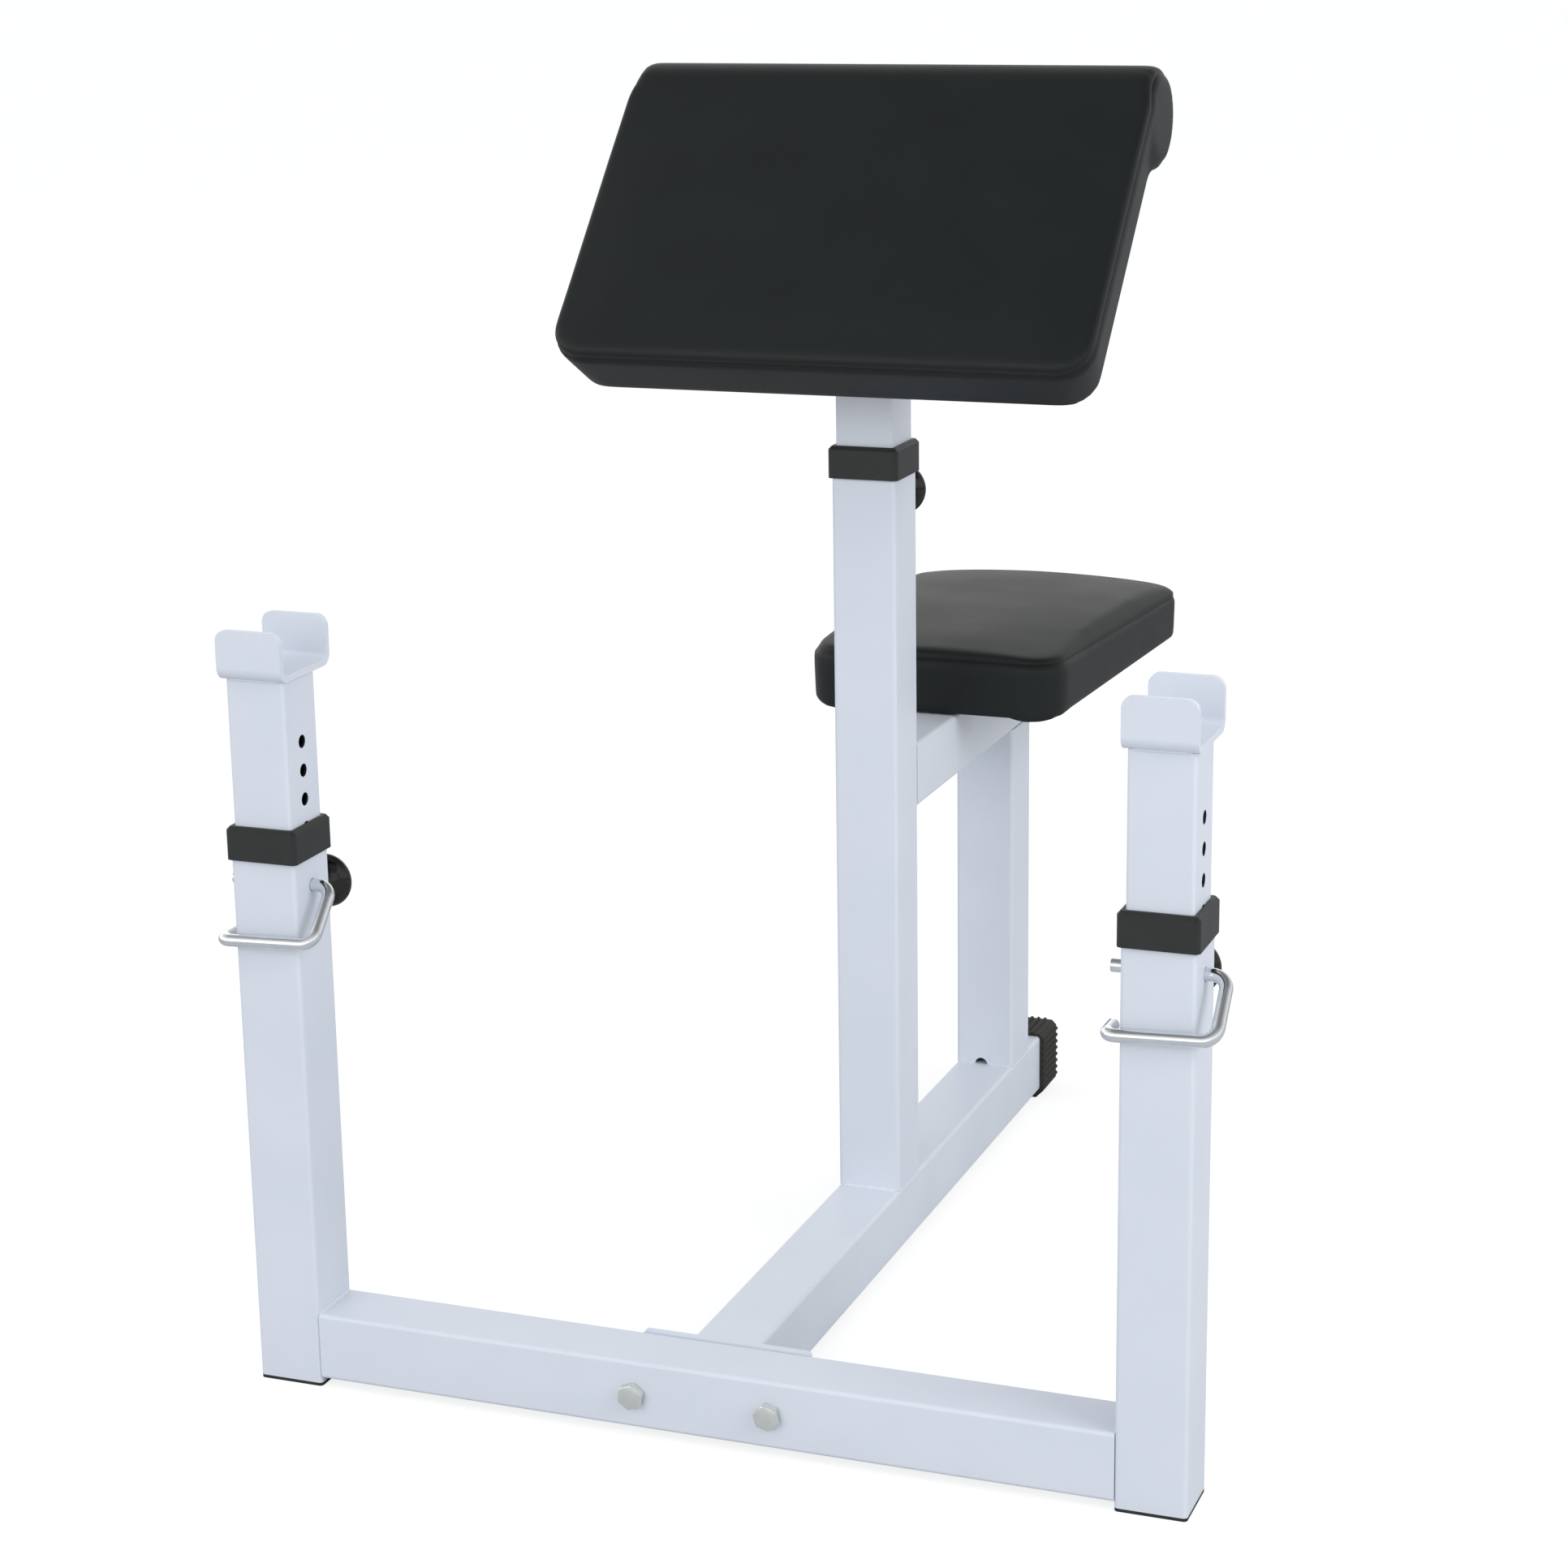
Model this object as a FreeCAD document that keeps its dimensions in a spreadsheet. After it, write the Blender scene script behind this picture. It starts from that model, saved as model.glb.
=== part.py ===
import FreeCAD, Part
import math
import os
import re
import Sketcher
from FreeCAD import Placement, Rotation, Vector

# A preacher curl bench: a sloping arm pad on a telescoping post, a seat behind it, and two
# height-adjustable bar racks in front, all on a floor frame of square steel tube.
# X runs to the right as seen from the front, Y back towards the seat, Z up from the floor.
doc = FreeCAD.newDocument("preacher_bench")

# Every driving size of the bench, in millimetres.
SIZES = [
    ("tube_side", "50", "outside of the frame tubes"),
    ("tube_wall", "2", "wall of all tubes"),
    ("tube_corner", "3", "outside corner radius of the frame tubes"),
    ("front_y", "-411", "front faces of the uprights"),
    ("upright_spacing", "643.6", "between the uprights, centre to centre"),
    ("upright_length", "413.1", "each upright tube"),
    ("foot_flange", "2.4", "plug flange the uprights stand on"),
    ("plug_depth", "18", "plug skirt inside a tube"),
    ("plug_wall", "2.5", "plug skirt thickness"),
    ("fit_gap", "0.1", "between a plug or cap and its tube"),
    ("cross_z", "6.2", "underside of the front cross tube"),
    ("spine_z", "7.2", "underside of the spine"),
    ("spine_length", "720", "spine tube from flange plate to rear end"),
    ("plate_thick", "5", "flange plate and pad mounting plate"),
    ("bolt_spacing", "101.6", "between the two flange bolts"),
    ("plate_margin", "12.2", "flange plate outside its bolts"),
    ("bolt_shank", "10", "flange bolt shank"),
    ("bolt_gap", "0.3", "around a bolt in its hole"),
    ("bolt_corners", "19.6", "hexagon across corners"),
    ("bolt_head", "6.4", "hexagon head thickness"),
    ("nut_thick", "8", "flange nut thickness"),
    ("nut_gap", "0.05", "around a thread in its nut"),
    ("washer_side", "21", "washer outside"),
    ("washer_thick", "2", "washer thickness"),
    ("seat_post_tail", "93.3", "seat post centre in front of the spine's rear end"),
    ("post_spacing", "301.1", "pad upright to seat post, centre to centre"),
    ("pad_upright_top", "641.5", "top of the pad upright above the floor"),
    ("seat_bar_z", "357.5", "underside of the seat bar"),
    ("vent_notch", "11", "drain notch at the foot of the seat post"),
    ("vent_offset", "3", "drain notch left of the middle"),
    ("cap_length", "41", "spine end cap, front rim to rear"),
    ("cap_overlap", "35", "tube inside the spine end cap"),
    ("cap_wall", "3.2", "side walls of the cap under its ribs"),
    ("cap_roof", "2.5", "top wall of the cap under its ribs"),
    ("cap_chamfer", "6.5", "lower long edges of the cap"),
    ("cap_corner", "4", "upper long edges of the cap"),
    ("rib_width", "3.2", "rubber rib on the cap"),
    ("rib_height", "1.4", "rib standing out from the cap"),
    ("rib_pitch", "6", "from rib to rib"),
    ("collar_wall", "2.4", "tube collar skirt"),
    ("collar_corner", "4", "collar outside corner radius"),
    ("collar_height", "24.2", "collar, top to bottom"),
    ("collar_roof", "3.5", "collar lip over the tube end"),
    ("collar_chamfer", "2.6", "collar upper edge"),
    ("tube_play", "0.5", "between a sliding tube and the tube round it"),
    ("inner_corner", "2.5", "corner radius of the sliding tubes"),
    ("slide_gap", "0.3", "between a sliding tube and its collar"),
    ("rack_rise", "109", "rack tube above its upright, at rest"),
    ("rack_tail", "25", "rack tube below its lowest hole"),
    ("pin_below", "41.9", "lock pin below the upright's top"),
    ("pin_pitch", "20.8", "rack height steps"),
    ("pin_rod", "9", "lock pin rod diameter"),
    ("pin_play", "0.25", "around a lock pin in its holes"),
    ("pin_tip", "12", "pin tip beyond the upright"),
    ("pin_shoulder", "15", "first pin bend beyond the upright"),
    ("pin_forward", "7", "middle of the grip in front of the upright"),
    ("pin_drop", "33.6", "grip below the holes"),
    ("pin_sag", "3", "grip's hooked end below its shoulder end"),
    ("pin_grip_end", "7.5", "grip bend beyond the upright"),
    ("pin_hook", "20", "hook turned back round the upright"),
    ("pin_bend", "10", "bends of the pin, middle of the rod"),
    ("pin_hook_bend", "7", "hook bend, middle of the rod"),
    ("cradle_width", "50", "bar cradle, side to side"),
    ("cradle_thick", "5", "bar cradle plate"),
    ("cradle_front", "4.5", "cradle in front of the upright face"),
    ("cradle_rear", "66.5", "cradle rear face behind the upright face"),
    ("cradle_height", "35.7", "cradle, underside to flange tops"),
    ("cradle_bend", "4", "inside bends of the cradle"),
    ("cradle_corner", "8", "upper corners of the cradle flanges"),
    ("clamp_below", "59.5", "clamp screws below the uprights' tops"),
    ("stud_size", "10", "clamp stud diameter"),
    ("stud_play", "1", "around a stud in its upright"),
    ("stud_tip_gap", "0.3", "stud tip off the rack tube"),
    ("stud_bevel", "1", "stud tip bevel"),
    ("weld_nut", "10", "clamp nut thickness"),
    ("knob_stand", "22.4", "clamp knob hub off the upright face"),
    ("knob_radius", "20", "knob rim"),
    ("knob_hub", "9", "knob hub radius"),
    ("knob_neck", "9", "knob hub length up to the flare"),
    ("knob_flare", "4.6", "knob flare, along the axis"),
    ("knob_edge", "2", "bevel under the rim"),
    ("knob_height", "27", "knob, hub to crown"),
    ("knob_dome", "8", "bevels from the rim to the crown"),
    ("knob_bore", "14", "depth of the bore in a knob"),
    ("bore_gap", "0.02", "around a shaft in a knob"),
    ("pull_below", "42.5", "pull pin below the pad upright's top"),
    ("pad_pitch", "25", "pad height steps"),
    ("plunger_size", "8", "pull pin nose diameter"),
    ("plunger_play", "0.1", "around the pull pin in its barrel and upright"),
    ("notch_play", "0.3", "around the nose in the pad post"),
    ("plunger_reach", "8", "nose inside the upright's rear face"),
    ("flange_rest", "0.5", "spring flange off the upright"),
    ("flange_thick", "3", "spring flange thickness"),
    ("stem_size", "6", "pull pin stem diameter"),
    ("barrel_size", "20", "spring barrel outside"),
    ("barrel_bore", "13", "spring barrel bore"),
    ("barrel_length", "19", "spring barrel"),
    ("barrel_end", "3", "end wall of the barrel"),
    ("pull_knob_gap", "0.4", "knob off the barrel at rest"),
    ("coil_size", "9.6", "spring, middle of the wire"),
    ("coil_wire", "1", "spring wire"),
    ("coil_gap", "0.2", "spring ends off their seats"),
    ("post_tail", "29", "pad post below its lowest hole"),
    ("pad_edge_lead", "131.8", "lower seam of the arm pad in front of the post"),
    ("pad_edge_rise", "81.7", "lower seam of the arm pad above the pad upright"),
    ("pad_offset", "4", "arm pad to the left of the middle"),
    ("pad_width", "410", "arm pad across its seam"),
    ("pad_reach", "251", "lower seam to the roll's middle, along the slope"),
    ("pad_depth", "55", "arm pad, face to back"),
    ("pad_seam", "8", "seam behind the face"),
    ("pad_crown", "1", "face crown across the width"),
    ("pad_tuck", "8", "back edges drawn in"),
    ("pad_lip", "2.5", "face edge drawn in above the seam"),
    ("pad_shoulder", "12", "crown edge drawn in"),
    ("pad_corner", "26", "lower corners of the arm pad's face"),
    ("pad_back_corner", "24", "lower corners of the arm pad's back"),
    ("roll_radius", "38", "rolled top edge"),
    ("roll_proud", "1", "roll standing above the face"),
    ("roll_inset", "1", "roll ends inside the seam width"),
    ("roll_round", "6", "edges of the roll's ends"),
    ("board_thick", "12", "plywood boards"),
    ("board_inset", "14", "pad board inside the back edges"),
    ("board_gap", "0.4", "foam off the boards"),
    ("board_corner", "15", "corner radius of the boards"),
    ("mount_width", "120", "pad mounting plate, side to side"),
    ("mount_low_margin", "38", "mounting plate inside the board's lower edge"),
    ("mount_high_margin", "10", "mounting plate inside the board's upper edge"),
    ("screw_size", "6", "board screws"),
    ("screw_head", "12", "board screw heads"),
    ("screw_head_thick", "3.5", "board screw head thickness"),
    ("screw_bite", "9", "board screws into the boards"),
    ("screw_inset", "14", "screws in from the plate edges"),
    ("strap_thick", "3", "seat straps"),
    ("strap_width", "36", "seat straps, front to back"),
    ("strap_length", "160", "seat straps, side to side"),
    ("strap_front_lead", "121.7", "front strap in front of the seat post"),
    ("strap_rear_lead", "1.7", "rear strap in front of the seat post"),
    ("seat_offset", "5", "seat to the right of the middle"),
    ("seat_front_lead", "185.7", "seat front seam in front of the seat post"),
    ("seat_rear_back", "150.3", "seat rear seam behind the seat post"),
    ("seat_front_width", "211", "seat across its front seam"),
    ("seat_rear_width", "241", "seat across its rear seam"),
    ("seat_seam", "39", "seat underside to its seam"),
    ("seat_crown", "54", "seat underside to its crown"),
    ("seat_crown_radius", "3000", "crown of the seat"),
    ("seat_tuck", "1", "seat underside drawn in"),
    ("seat_lip", "4", "seat edge drawn in above the seam"),
    ("seat_lip_height", "7", "seat edge above the seam"),
    ("seat_shoulder", "16", "seat crown edge drawn in"),
    ("seat_front_corner", "28", "front corners of the seat"),
    ("seat_rear_corner", "24", "rear corners of the seat"),
    ("overrun", "2", "cuts run past the faces they open"),
]
sheet = doc.addObject("Spreadsheet::Sheet", "Sizes")
for row, (alias, size, meaning) in enumerate(SIZES, start=1):
    sheet.set(f"A{row}", meaning)
    sheet.set(f"B{row}", size)
    sheet.setAlias(f"B{row}", alias)
doc.recompute()

# Counts and angles of the bench.
lower_rack_holes = 7
upper_rack_holes = 5
lower_pad_holes = 4
upper_pad_holes = 2
cap_side_ribs = 8
cap_top_ribs = 7
coil_turns = 3
coil_sides = 6
pad_slope_deg = 46.6
SLOPE_SIN = math.sin(math.radians(pad_slope_deg))
SLOPE_COS = math.cos(math.radians(pad_slope_deg))
# Points that are nearer than this are taken as one.
touching = 1e-6

ACROSS = Rotation(Vector(0, 1, 0), 90)
BACKWARD = Rotation(Vector(1, 0, 0), -90)
FORWARD = Rotation(Vector(1, 0, 0), 90)
SLOPED = Rotation(Vector(1, 0, 0), pad_slope_deg)
UPRIGHT = Rotation()

# Places that several pieces share, from the front of the bench to its rear.
rear_face_y = "(front_y + tube_side)"
upright_y = "(front_y + tube_side / 2)"
upright_top = "(foot_flange + upright_length)"
pin_z = f"({upright_top} - pin_below)"
clamp_z = f"({upright_top} - clamp_below)"
rack_top = f"({upright_top} + rack_rise)"
rack_bottom = f"({pin_z} - pin_pitch * {lower_rack_holes} - rack_tail)"
inner_side = "(tube_side - 2 * tube_wall - 2 * tube_play)"
pin_hole = "(pin_rod + 2 * pin_play)"
spine_front = f"({rear_face_y} + plate_thick)"
spine_rear = f"({spine_front} + spine_length)"
spine_top = "(spine_z + tube_side)"
seat_post_y = f"({spine_rear} - seat_post_tail)"
pad_post_y = f"({seat_post_y} - post_spacing)"
pull_y = f"({pad_post_y} + tube_side / 2)"
pull_z = "(pad_upright_top - pull_below)"
pad_post_bottom = f"({pull_z} - pad_pitch * {lower_pad_holes} - post_tail)"
pad_edge_y = f"({pad_post_y} - pad_edge_lead)"
pad_edge_z = "(pad_upright_top + pad_edge_rise)"

finished = []


def cell(expression):
    """A plain expression such as tube_side / 2 with the sheet's name before each size."""
    return re.sub(r"[a-z][a-z_]*", lambda word: "Sizes." + word.group(), expression)


def value(expression):
    """The millimetres that an expression comes to now."""
    return float(sheet.evalExpression(cell(expression)))


def bind(piece, **sizes):
    """Tie a piece's properties to expressions of the sheet's sizes."""
    for name, expression in sizes.items():
        piece.setExpression(name, cell(expression))


def place(piece, x="0", y="0", z="0", turn=UPRIGHT):
    """Stand a piece at a point of the bench, tied to the sheet."""
    piece.Placement = Placement(Vector(), turn)
    bind(piece, **{".Placement.Base.x": x, ".Placement.Base.y": y, ".Placement.Base.z": z})


def finish(piece, name):
    """Name a finished piece, which is written to a file of that name."""
    piece.Label = name
    finished.append(piece)
    return piece


def new_body(name):
    return doc.addObject("PartDesign::Body", name + "_body")


def origin_part(body, role):
    return next(part for part in body.Origin.OriginFeatures if part.Role == role)


def new_sketch(body, role, lift="0"):
    """A sketch on one of the body's own planes, lifted off it by an expression."""
    sketch = body.newObject("Sketcher::SketchObject", body.Name + "_sketch")
    sketch.AttachmentSupport = (origin_part(body, role), [""])
    sketch.MapMode = "FlatFace"
    bind(sketch, **{".AttachmentOffset.Base.z": lift})
    return sketch


def dimension(sketch, constraint, expression):
    index = sketch.addConstraint(constraint)
    sketch.setExpression(f"Constraints[{index}]", cell(expression))


def fix_point(sketch, geometry, point, x, y):
    """Hold a point of the sketch at two expressions; a plain zero puts it on the axis."""
    for kind, expression, axis in (("DistanceX", x, -2), ("DistanceY", y, -1)):
        if expression == "0":
            sketch.addConstraint(Sketcher.Constraint("PointOnObject", geometry, point, axis))
        else:
            constraint = Sketcher.Constraint(kind, -1, 1, geometry, point, value(expression))
            dimension(sketch, constraint, expression)


def draw_circle(sketch, x, y, diameter):
    centre = Vector(value(x), value(y), 0)
    ring = sketch.addGeometry(Part.Circle(centre, Vector(0, 0, 1), value(diameter) / 2))
    fix_point(sketch, ring, 3, x, y)
    dimension(sketch, Sketcher.Constraint("Diameter", ring, value(diameter)), diameter)


def draw_rounded(sketch, corners):
    """A closed outline with a round at each corner (x, y, radius), given anticlockwise."""
    count = len(corners)
    points = [Vector(value(x), value(y), 0) for x, y, radius in corners]
    centres, starts, ends = [], [], []
    for i, (x, y, radius) in enumerate(corners):
        back = (points[i - 1] - points[i]).normalize()
        ahead = (points[(i + 1) % count] - points[i]).normalize()
        half = back.getAngle(ahead) / 2
        run = value(radius) / math.tan(half)
        middle = (back + ahead).normalize()
        centres.append(points[i] + middle * (value(radius) / math.sin(half)))
        starts.append(points[i] + back * run)
        ends.append(points[i] + ahead * run)
    lines, arcs = [], []
    for i, (x, y, radius) in enumerate(corners):
        from_angle = math.atan2(starts[i].y - centres[i].y, starts[i].x - centres[i].x)
        to_angle = math.atan2(ends[i].y - centres[i].y, ends[i].x - centres[i].x)
        if to_angle < from_angle:
            to_angle += 2 * math.pi
        round_ = Part.Circle(centres[i], Vector(0, 0, 1), value(radius))
        arcs.append(sketch.addGeometry(Part.ArcOfCircle(round_, from_angle, to_angle)))
        lines.append(sketch.addGeometry(Part.LineSegment(ends[i], starts[(i + 1) % count])))
    for i in range(count):
        sketch.addConstraint(Sketcher.Constraint("Tangent", lines[i - 1], 2, arcs[i], 1))
        sketch.addConstraint(Sketcher.Constraint("Tangent", arcs[i], 2, lines[i], 1))
    for i, (x, y, radius) in enumerate(corners):
        dimension(sketch, Sketcher.Constraint("Radius", arcs[i], value(radius)), radius)
        corner = sketch.addGeometry(Part.Point(points[i]), True)
        fix_point(sketch, corner, 1, x, y)
        sketch.addConstraint(Sketcher.Constraint("PointOnObject", corner, 1, lines[i - 1]))
        sketch.addConstraint(Sketcher.Constraint("PointOnObject", corner, 1, lines[i]))


def draw_rectangle(sketch, width, depth, radius):
    """A round-cornered rectangle about the sketch's origin."""
    w, d = f"({width}) / 2", f"({depth}) / 2"
    draw_rounded(sketch, [(f"-{w}", f"-{d}", radius), (w, f"-{d}", radius),
                          (w, d, radius), (f"-{w}", d, radius)])


def draw_outline(sketch, points):
    """A closed outline of straight lines through points (x, y)."""
    corners = [Vector(value(x), value(y), 0) for x, y in points]
    lines = []
    for here, there in zip(corners, corners[1:] + corners[:1]):
        lines.append(sketch.addGeometry(Part.LineSegment(here, there)))
    for line, ahead in zip(lines, lines[1:] + lines[:1]):
        sketch.addConstraint(Sketcher.Constraint("Coincident", line, 2, ahead, 1))
    for line, (x, y) in zip(lines, points):
        fix_point(sketch, line, 1, x, y)


def add_pad(body, sketch, length, both_ways=False):
    pad = body.newObject("PartDesign::Pad", body.Name + "_pad")
    pad.Profile = sketch
    if both_ways:
        pad.SideType = "Symmetric"
    bind(pad, Length=length)
    return pad


def add_cut(body, sketch, length=None, both_ways=False, reverse=False):
    """Cut a sketch out of the body, right through it unless a length is given."""
    cut = body.newObject("PartDesign::Pocket", body.Name + "_cut")
    cut.Profile = sketch
    if both_ways:
        cut.SideType = "Symmetric"
    cut.Reversed = reverse
    if length is None:
        cut.Type = "ThroughAll"
    else:
        cut.Type = "Length"
        bind(cut, Length=length)
    return cut


def add_row(body, feature, axis, pitch, count):
    """Repeat a feature of the body along one of its axes."""
    row = body.newObject("PartDesign::LinearPattern", body.Name + "_row")
    row.Originals = [feature]
    row.Direction = (origin_part(body, axis), [""])
    row.Occurrences = count
    bind(row, Length=f"{pitch} * {count - 1}")
    body.Tip = row
    return row


def edges_where(feature, chosen):
    """Names of a feature's edges whose middle point and direction are chosen."""
    names = []
    for number, edge in enumerate(feature.Shape.Edges, start=1):
        middle = edge.valueAt((edge.FirstParameter + edge.LastParameter) / 2)
        span = edge.Vertexes[-1].Point - edge.Vertexes[0].Point
        if chosen(middle, span):
            names.append(f"Edge{number}")
    return names


def round_edges(body, feature, radius, chosen):
    doc.recompute()
    fillet = body.newObject("PartDesign::Fillet", body.Name + "_round")
    fillet.Base = (feature, edges_where(feature, chosen))
    bind(fillet, Radius=radius)
    body.Tip = fillet
    return fillet


def square_tube(name, length, side="tube_side", corner="tube_corner"):
    """A length of square tube along the body's Z, with round corners."""
    body = new_body(name)
    section = new_sketch(body, "XY_Plane")
    draw_rectangle(section, side, side, corner)
    draw_rectangle(section, f"{side} - 2 * tube_wall", f"{side} - 2 * tube_wall", f"{corner} / 2")
    add_pad(body, section, length)
    return finish(body, name)


def turned(name, points):
    """A piece turned about the body's Z from a profile of (radius, height) points."""
    body = new_body(name)
    profile = new_sketch(body, "XZ_Plane")
    draw_outline(profile, points)
    revolve = body.newObject("PartDesign::Revolution", body.Name + "_turn")
    revolve.Profile = profile
    revolve.ReferenceAxis = (profile, ["V_Axis"])
    return body


def wall_hole(tube, height, diameter, rearward, x="0"):
    """A hole through one wall of an upright tube, the rear one or the front one."""
    mark = new_sketch(tube, "XZ_Plane")
    draw_circle(mark, x, height, diameter)
    return add_cut(tube, mark, reverse=not rearward)


def group(name, pieces):
    """Identical pieces that share one name."""
    cluster = doc.addObject("Part::Compound", name + "_group")
    cluster.Links = pieces
    return finish(cluster, name)


def cylinder(name, diameter, height):
    rod = doc.addObject("Part::Cylinder", name)
    bind(rod, Radius=f"({diameter}) / 2", Height=height)
    return rod


def hexagon(name, height):
    prism = doc.addObject("Part::Prism", name)
    prism.Polygon = 6
    bind(prism, Circumradius="bolt_corners / 2", Height=height)
    return prism


def combine(kind, name, base, tool):
    result = doc.addObject(kind, name)
    result.Base = base
    result.Tool = tool
    return result


# Floor frame. The cross tube runs between the two uprights at the front, and the spine runs
# back from it along the floor to a rubber cap.
cross = square_tube("front_cross_tube", "upright_spacing - tube_side")
across_x = "tube_side / 2 - upright_spacing / 2"
place(cross, across_x, upright_y, "cross_z + tube_side / 2", ACROSS)
bolt_marks = new_sketch(cross, "XZ_Plane")
for side in (-1, 1):
    along = f"upright_spacing / 2 - tube_side / 2 + {side} * bolt_spacing / 2"
    draw_circle(bolt_marks, "0", along, "bolt_shank + 2 * bolt_gap")
add_cut(cross, bolt_marks, both_ways=True)

spine = square_tube("base_spine", "spine_length")
place(spine, "0", spine_front, "spine_z + tube_side / 2", BACKWARD)

# The flange plate is welded across the spine's front end and bolted behind the cross tube.
flange = new_body("spine_flange_plate")
flange_face = new_sketch(flange, "XZ_Plane")
draw_rectangle(flange_face, "bolt_spacing + 2 * plate_margin", "tube_side", "tube_corner")
for side in (-1, 1):
    bolt_x = f"{side} * bolt_spacing / 2"
    draw_circle(flange_face, bolt_x, "cross_z - spine_z", "bolt_shank + 2 * bolt_gap")
flange_pad = add_pad(flange, flange_face, "plate_thick")
flange_pad.Reversed = True
place(flange, "0", rear_face_y, "spine_z + tube_side / 2")
finish(flange, "spine_flange_plate")

bolts, washers, nuts = [], [], []
bolt_z = "cross_z + tube_side / 2"
for side in (-1, 1):
    bolt_x = f"{side} * bolt_spacing / 2"
    head = hexagon("bolt_head", "bolt_head")
    shank = cylinder("bolt_shank", "bolt_shank", "bolt_head + tube_side + plate_thick + 2 * nut_thick")
    bolt = combine("Part::Fuse", "bolt", head, shank)
    place(bolt, bolt_x, "front_y - bolt_head", bolt_z, BACKWARD)
    bolts.append(bolt)
    disc = cylinder("washer_disc", "washer_side", "washer_thick")
    eye = cylinder("washer_eye", "bolt_shank + 2 * bolt_gap", "washer_thick")
    washer = combine("Part::Cut", "washer", disc, eye)
    place(washer, bolt_x, spine_front, bolt_z, BACKWARD)
    washers.append(washer)
    block = hexagon("nut_block", "nut_thick")
    thread = cylinder("nut_thread", "bolt_shank + 2 * nut_gap", "nut_thick")
    nut = combine("Part::Cut", "nut", block, thread)
    place(nut, bolt_x, f"{spine_front} + washer_thick", bolt_z, BACKWARD)
    nuts.append(nut)
group("flange_bolts", bolts)
group("flange_washers", washers)
group("flange_nuts", nuts)

# The ribbed rubber cap closes the spine and carries its rear end on the floor.
cap = new_body("spine_end_cap")
reach = "(tube_side / 2 + fit_gap)"
cap_half, cap_top = f"({reach} + cap_wall)", f"({spine_top} + fit_gap + cap_roof)"
cap_face = new_sketch(cap, "XZ_Plane")
draw_outline(cap_face, [
    (f"cap_chamfer - {cap_half}", "0"),
    (f"{cap_half} - cap_chamfer", "0"),
    (cap_half, "cap_chamfer"),
    (cap_half, f"{cap_top} - cap_corner"),
    (f"{cap_half} - cap_corner", cap_top),
    (f"cap_corner - {cap_half}", cap_top),
    (f"-{cap_half}", f"{cap_top} - cap_corner"),
    (f"-{cap_half}", "cap_chamfer"),
])
cap_block = add_pad(cap, cap_face, "cap_length")
cap_block.Reversed = True
socket = new_sketch(cap, "XZ_Plane")
draw_rounded(socket, [
    (f"-{reach}", "spine_z - fit_gap", "tube_corner"),
    (reach, "spine_z - fit_gap", "tube_corner"),
    (reach, f"{spine_top} + fit_gap", "tube_corner"),
    (f"-{reach}", f"{spine_top} + fit_gap", "tube_corner"),
])
add_cut(cap, socket, "cap_overlap")
for side in (-1, 1):
    side_rib = new_sketch(cap, "XZ_Plane")
    foot, tip = f"{side} * {cap_half}", f"{side} * ({cap_half} + rib_height)"
    low = f"{cap_top} / 2 + cap_chamfer / 4 - rib_pitch * {(cap_side_ribs - 1) / 2}"
    rib_points = [(foot, f"{low} - rib_width / 2"), (tip, f"{low} - rib_width / 4"),
                  (tip, f"{low} + rib_width / 4"), (foot, f"{low} + rib_width / 2")]
    draw_outline(side_rib, rib_points)
    rib = add_pad(cap, side_rib, "cap_length")
    rib.Reversed = True
    add_row(cap, rib, "Z_Axis", "rib_pitch", cap_side_ribs)
top_rib = new_sketch(cap, "XZ_Plane")
first = f"-rib_pitch * {(cap_top_ribs - 1) / 2}"
draw_outline(top_rib, [(f"{first} + rib_width / 2", cap_top),
                       (f"{first} + rib_width / 4", f"{cap_top} + rib_height"),
                       (f"{first} - rib_width / 4", f"{cap_top} + rib_height"),
                       (f"{first} - rib_width / 2", cap_top)])
rib = add_pad(cap, top_rib, "cap_length")
rib.Reversed = True
add_row(cap, rib, "X_Axis", "rib_pitch", cap_top_ribs)
place(cap, "0", f"{spine_rear} - cap_overlap")
finish(cap, "spine_end_cap")

# Posts that stand on the spine, and the seat bar between them.
pad_upright = square_tube("pad_upright", f"pad_upright_top - {spine_top}")
place(pad_upright, "0", pad_post_y, spine_top)
wall_hole(pad_upright, f"{pull_z} - {spine_top}", "plunger_size + 2 * plunger_play", rearward=True)

seat_post = square_tube("seat_post", f"seat_bar_z - {spine_top}")
place(seat_post, "0", seat_post_y, spine_top)
wall_hole(seat_post, "0", "vent_notch", rearward=False, x="-vent_offset")

seat_bar = square_tube("seat_bar", "post_spacing")
place(seat_bar, "0", pull_y, "seat_bar_z + tube_side / 2", BACKWARD)


def tube_plug(name):
    """A black plug: a flange over the tube's end and a hollow skirt inside it."""
    body = new_body(name)
    rim = new_sketch(body, "XY_Plane")
    draw_rectangle(rim, "tube_side", "tube_side", "tube_corner")
    add_pad(body, rim, "foot_flange")
    skirt = new_sketch(body, "XY_Plane", "foot_flange")
    outer = "tube_side - 2 * tube_wall - 2 * fit_gap"
    draw_rectangle(skirt, outer, outer, "tube_corner / 2")
    inner = f"{outer} - 2 * plug_wall"
    draw_rectangle(skirt, inner, inner, "tube_corner / 2")
    add_pad(body, skirt, "plug_depth")
    return finish(body, name)


bar_plug = tube_plug("seat_bar_plug")
bar_plug_y = f"{seat_post_y} + tube_side / 2 + foot_flange"
place(bar_plug, "0", bar_plug_y, "seat_bar_z + tube_side / 2", FORWARD)


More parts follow.
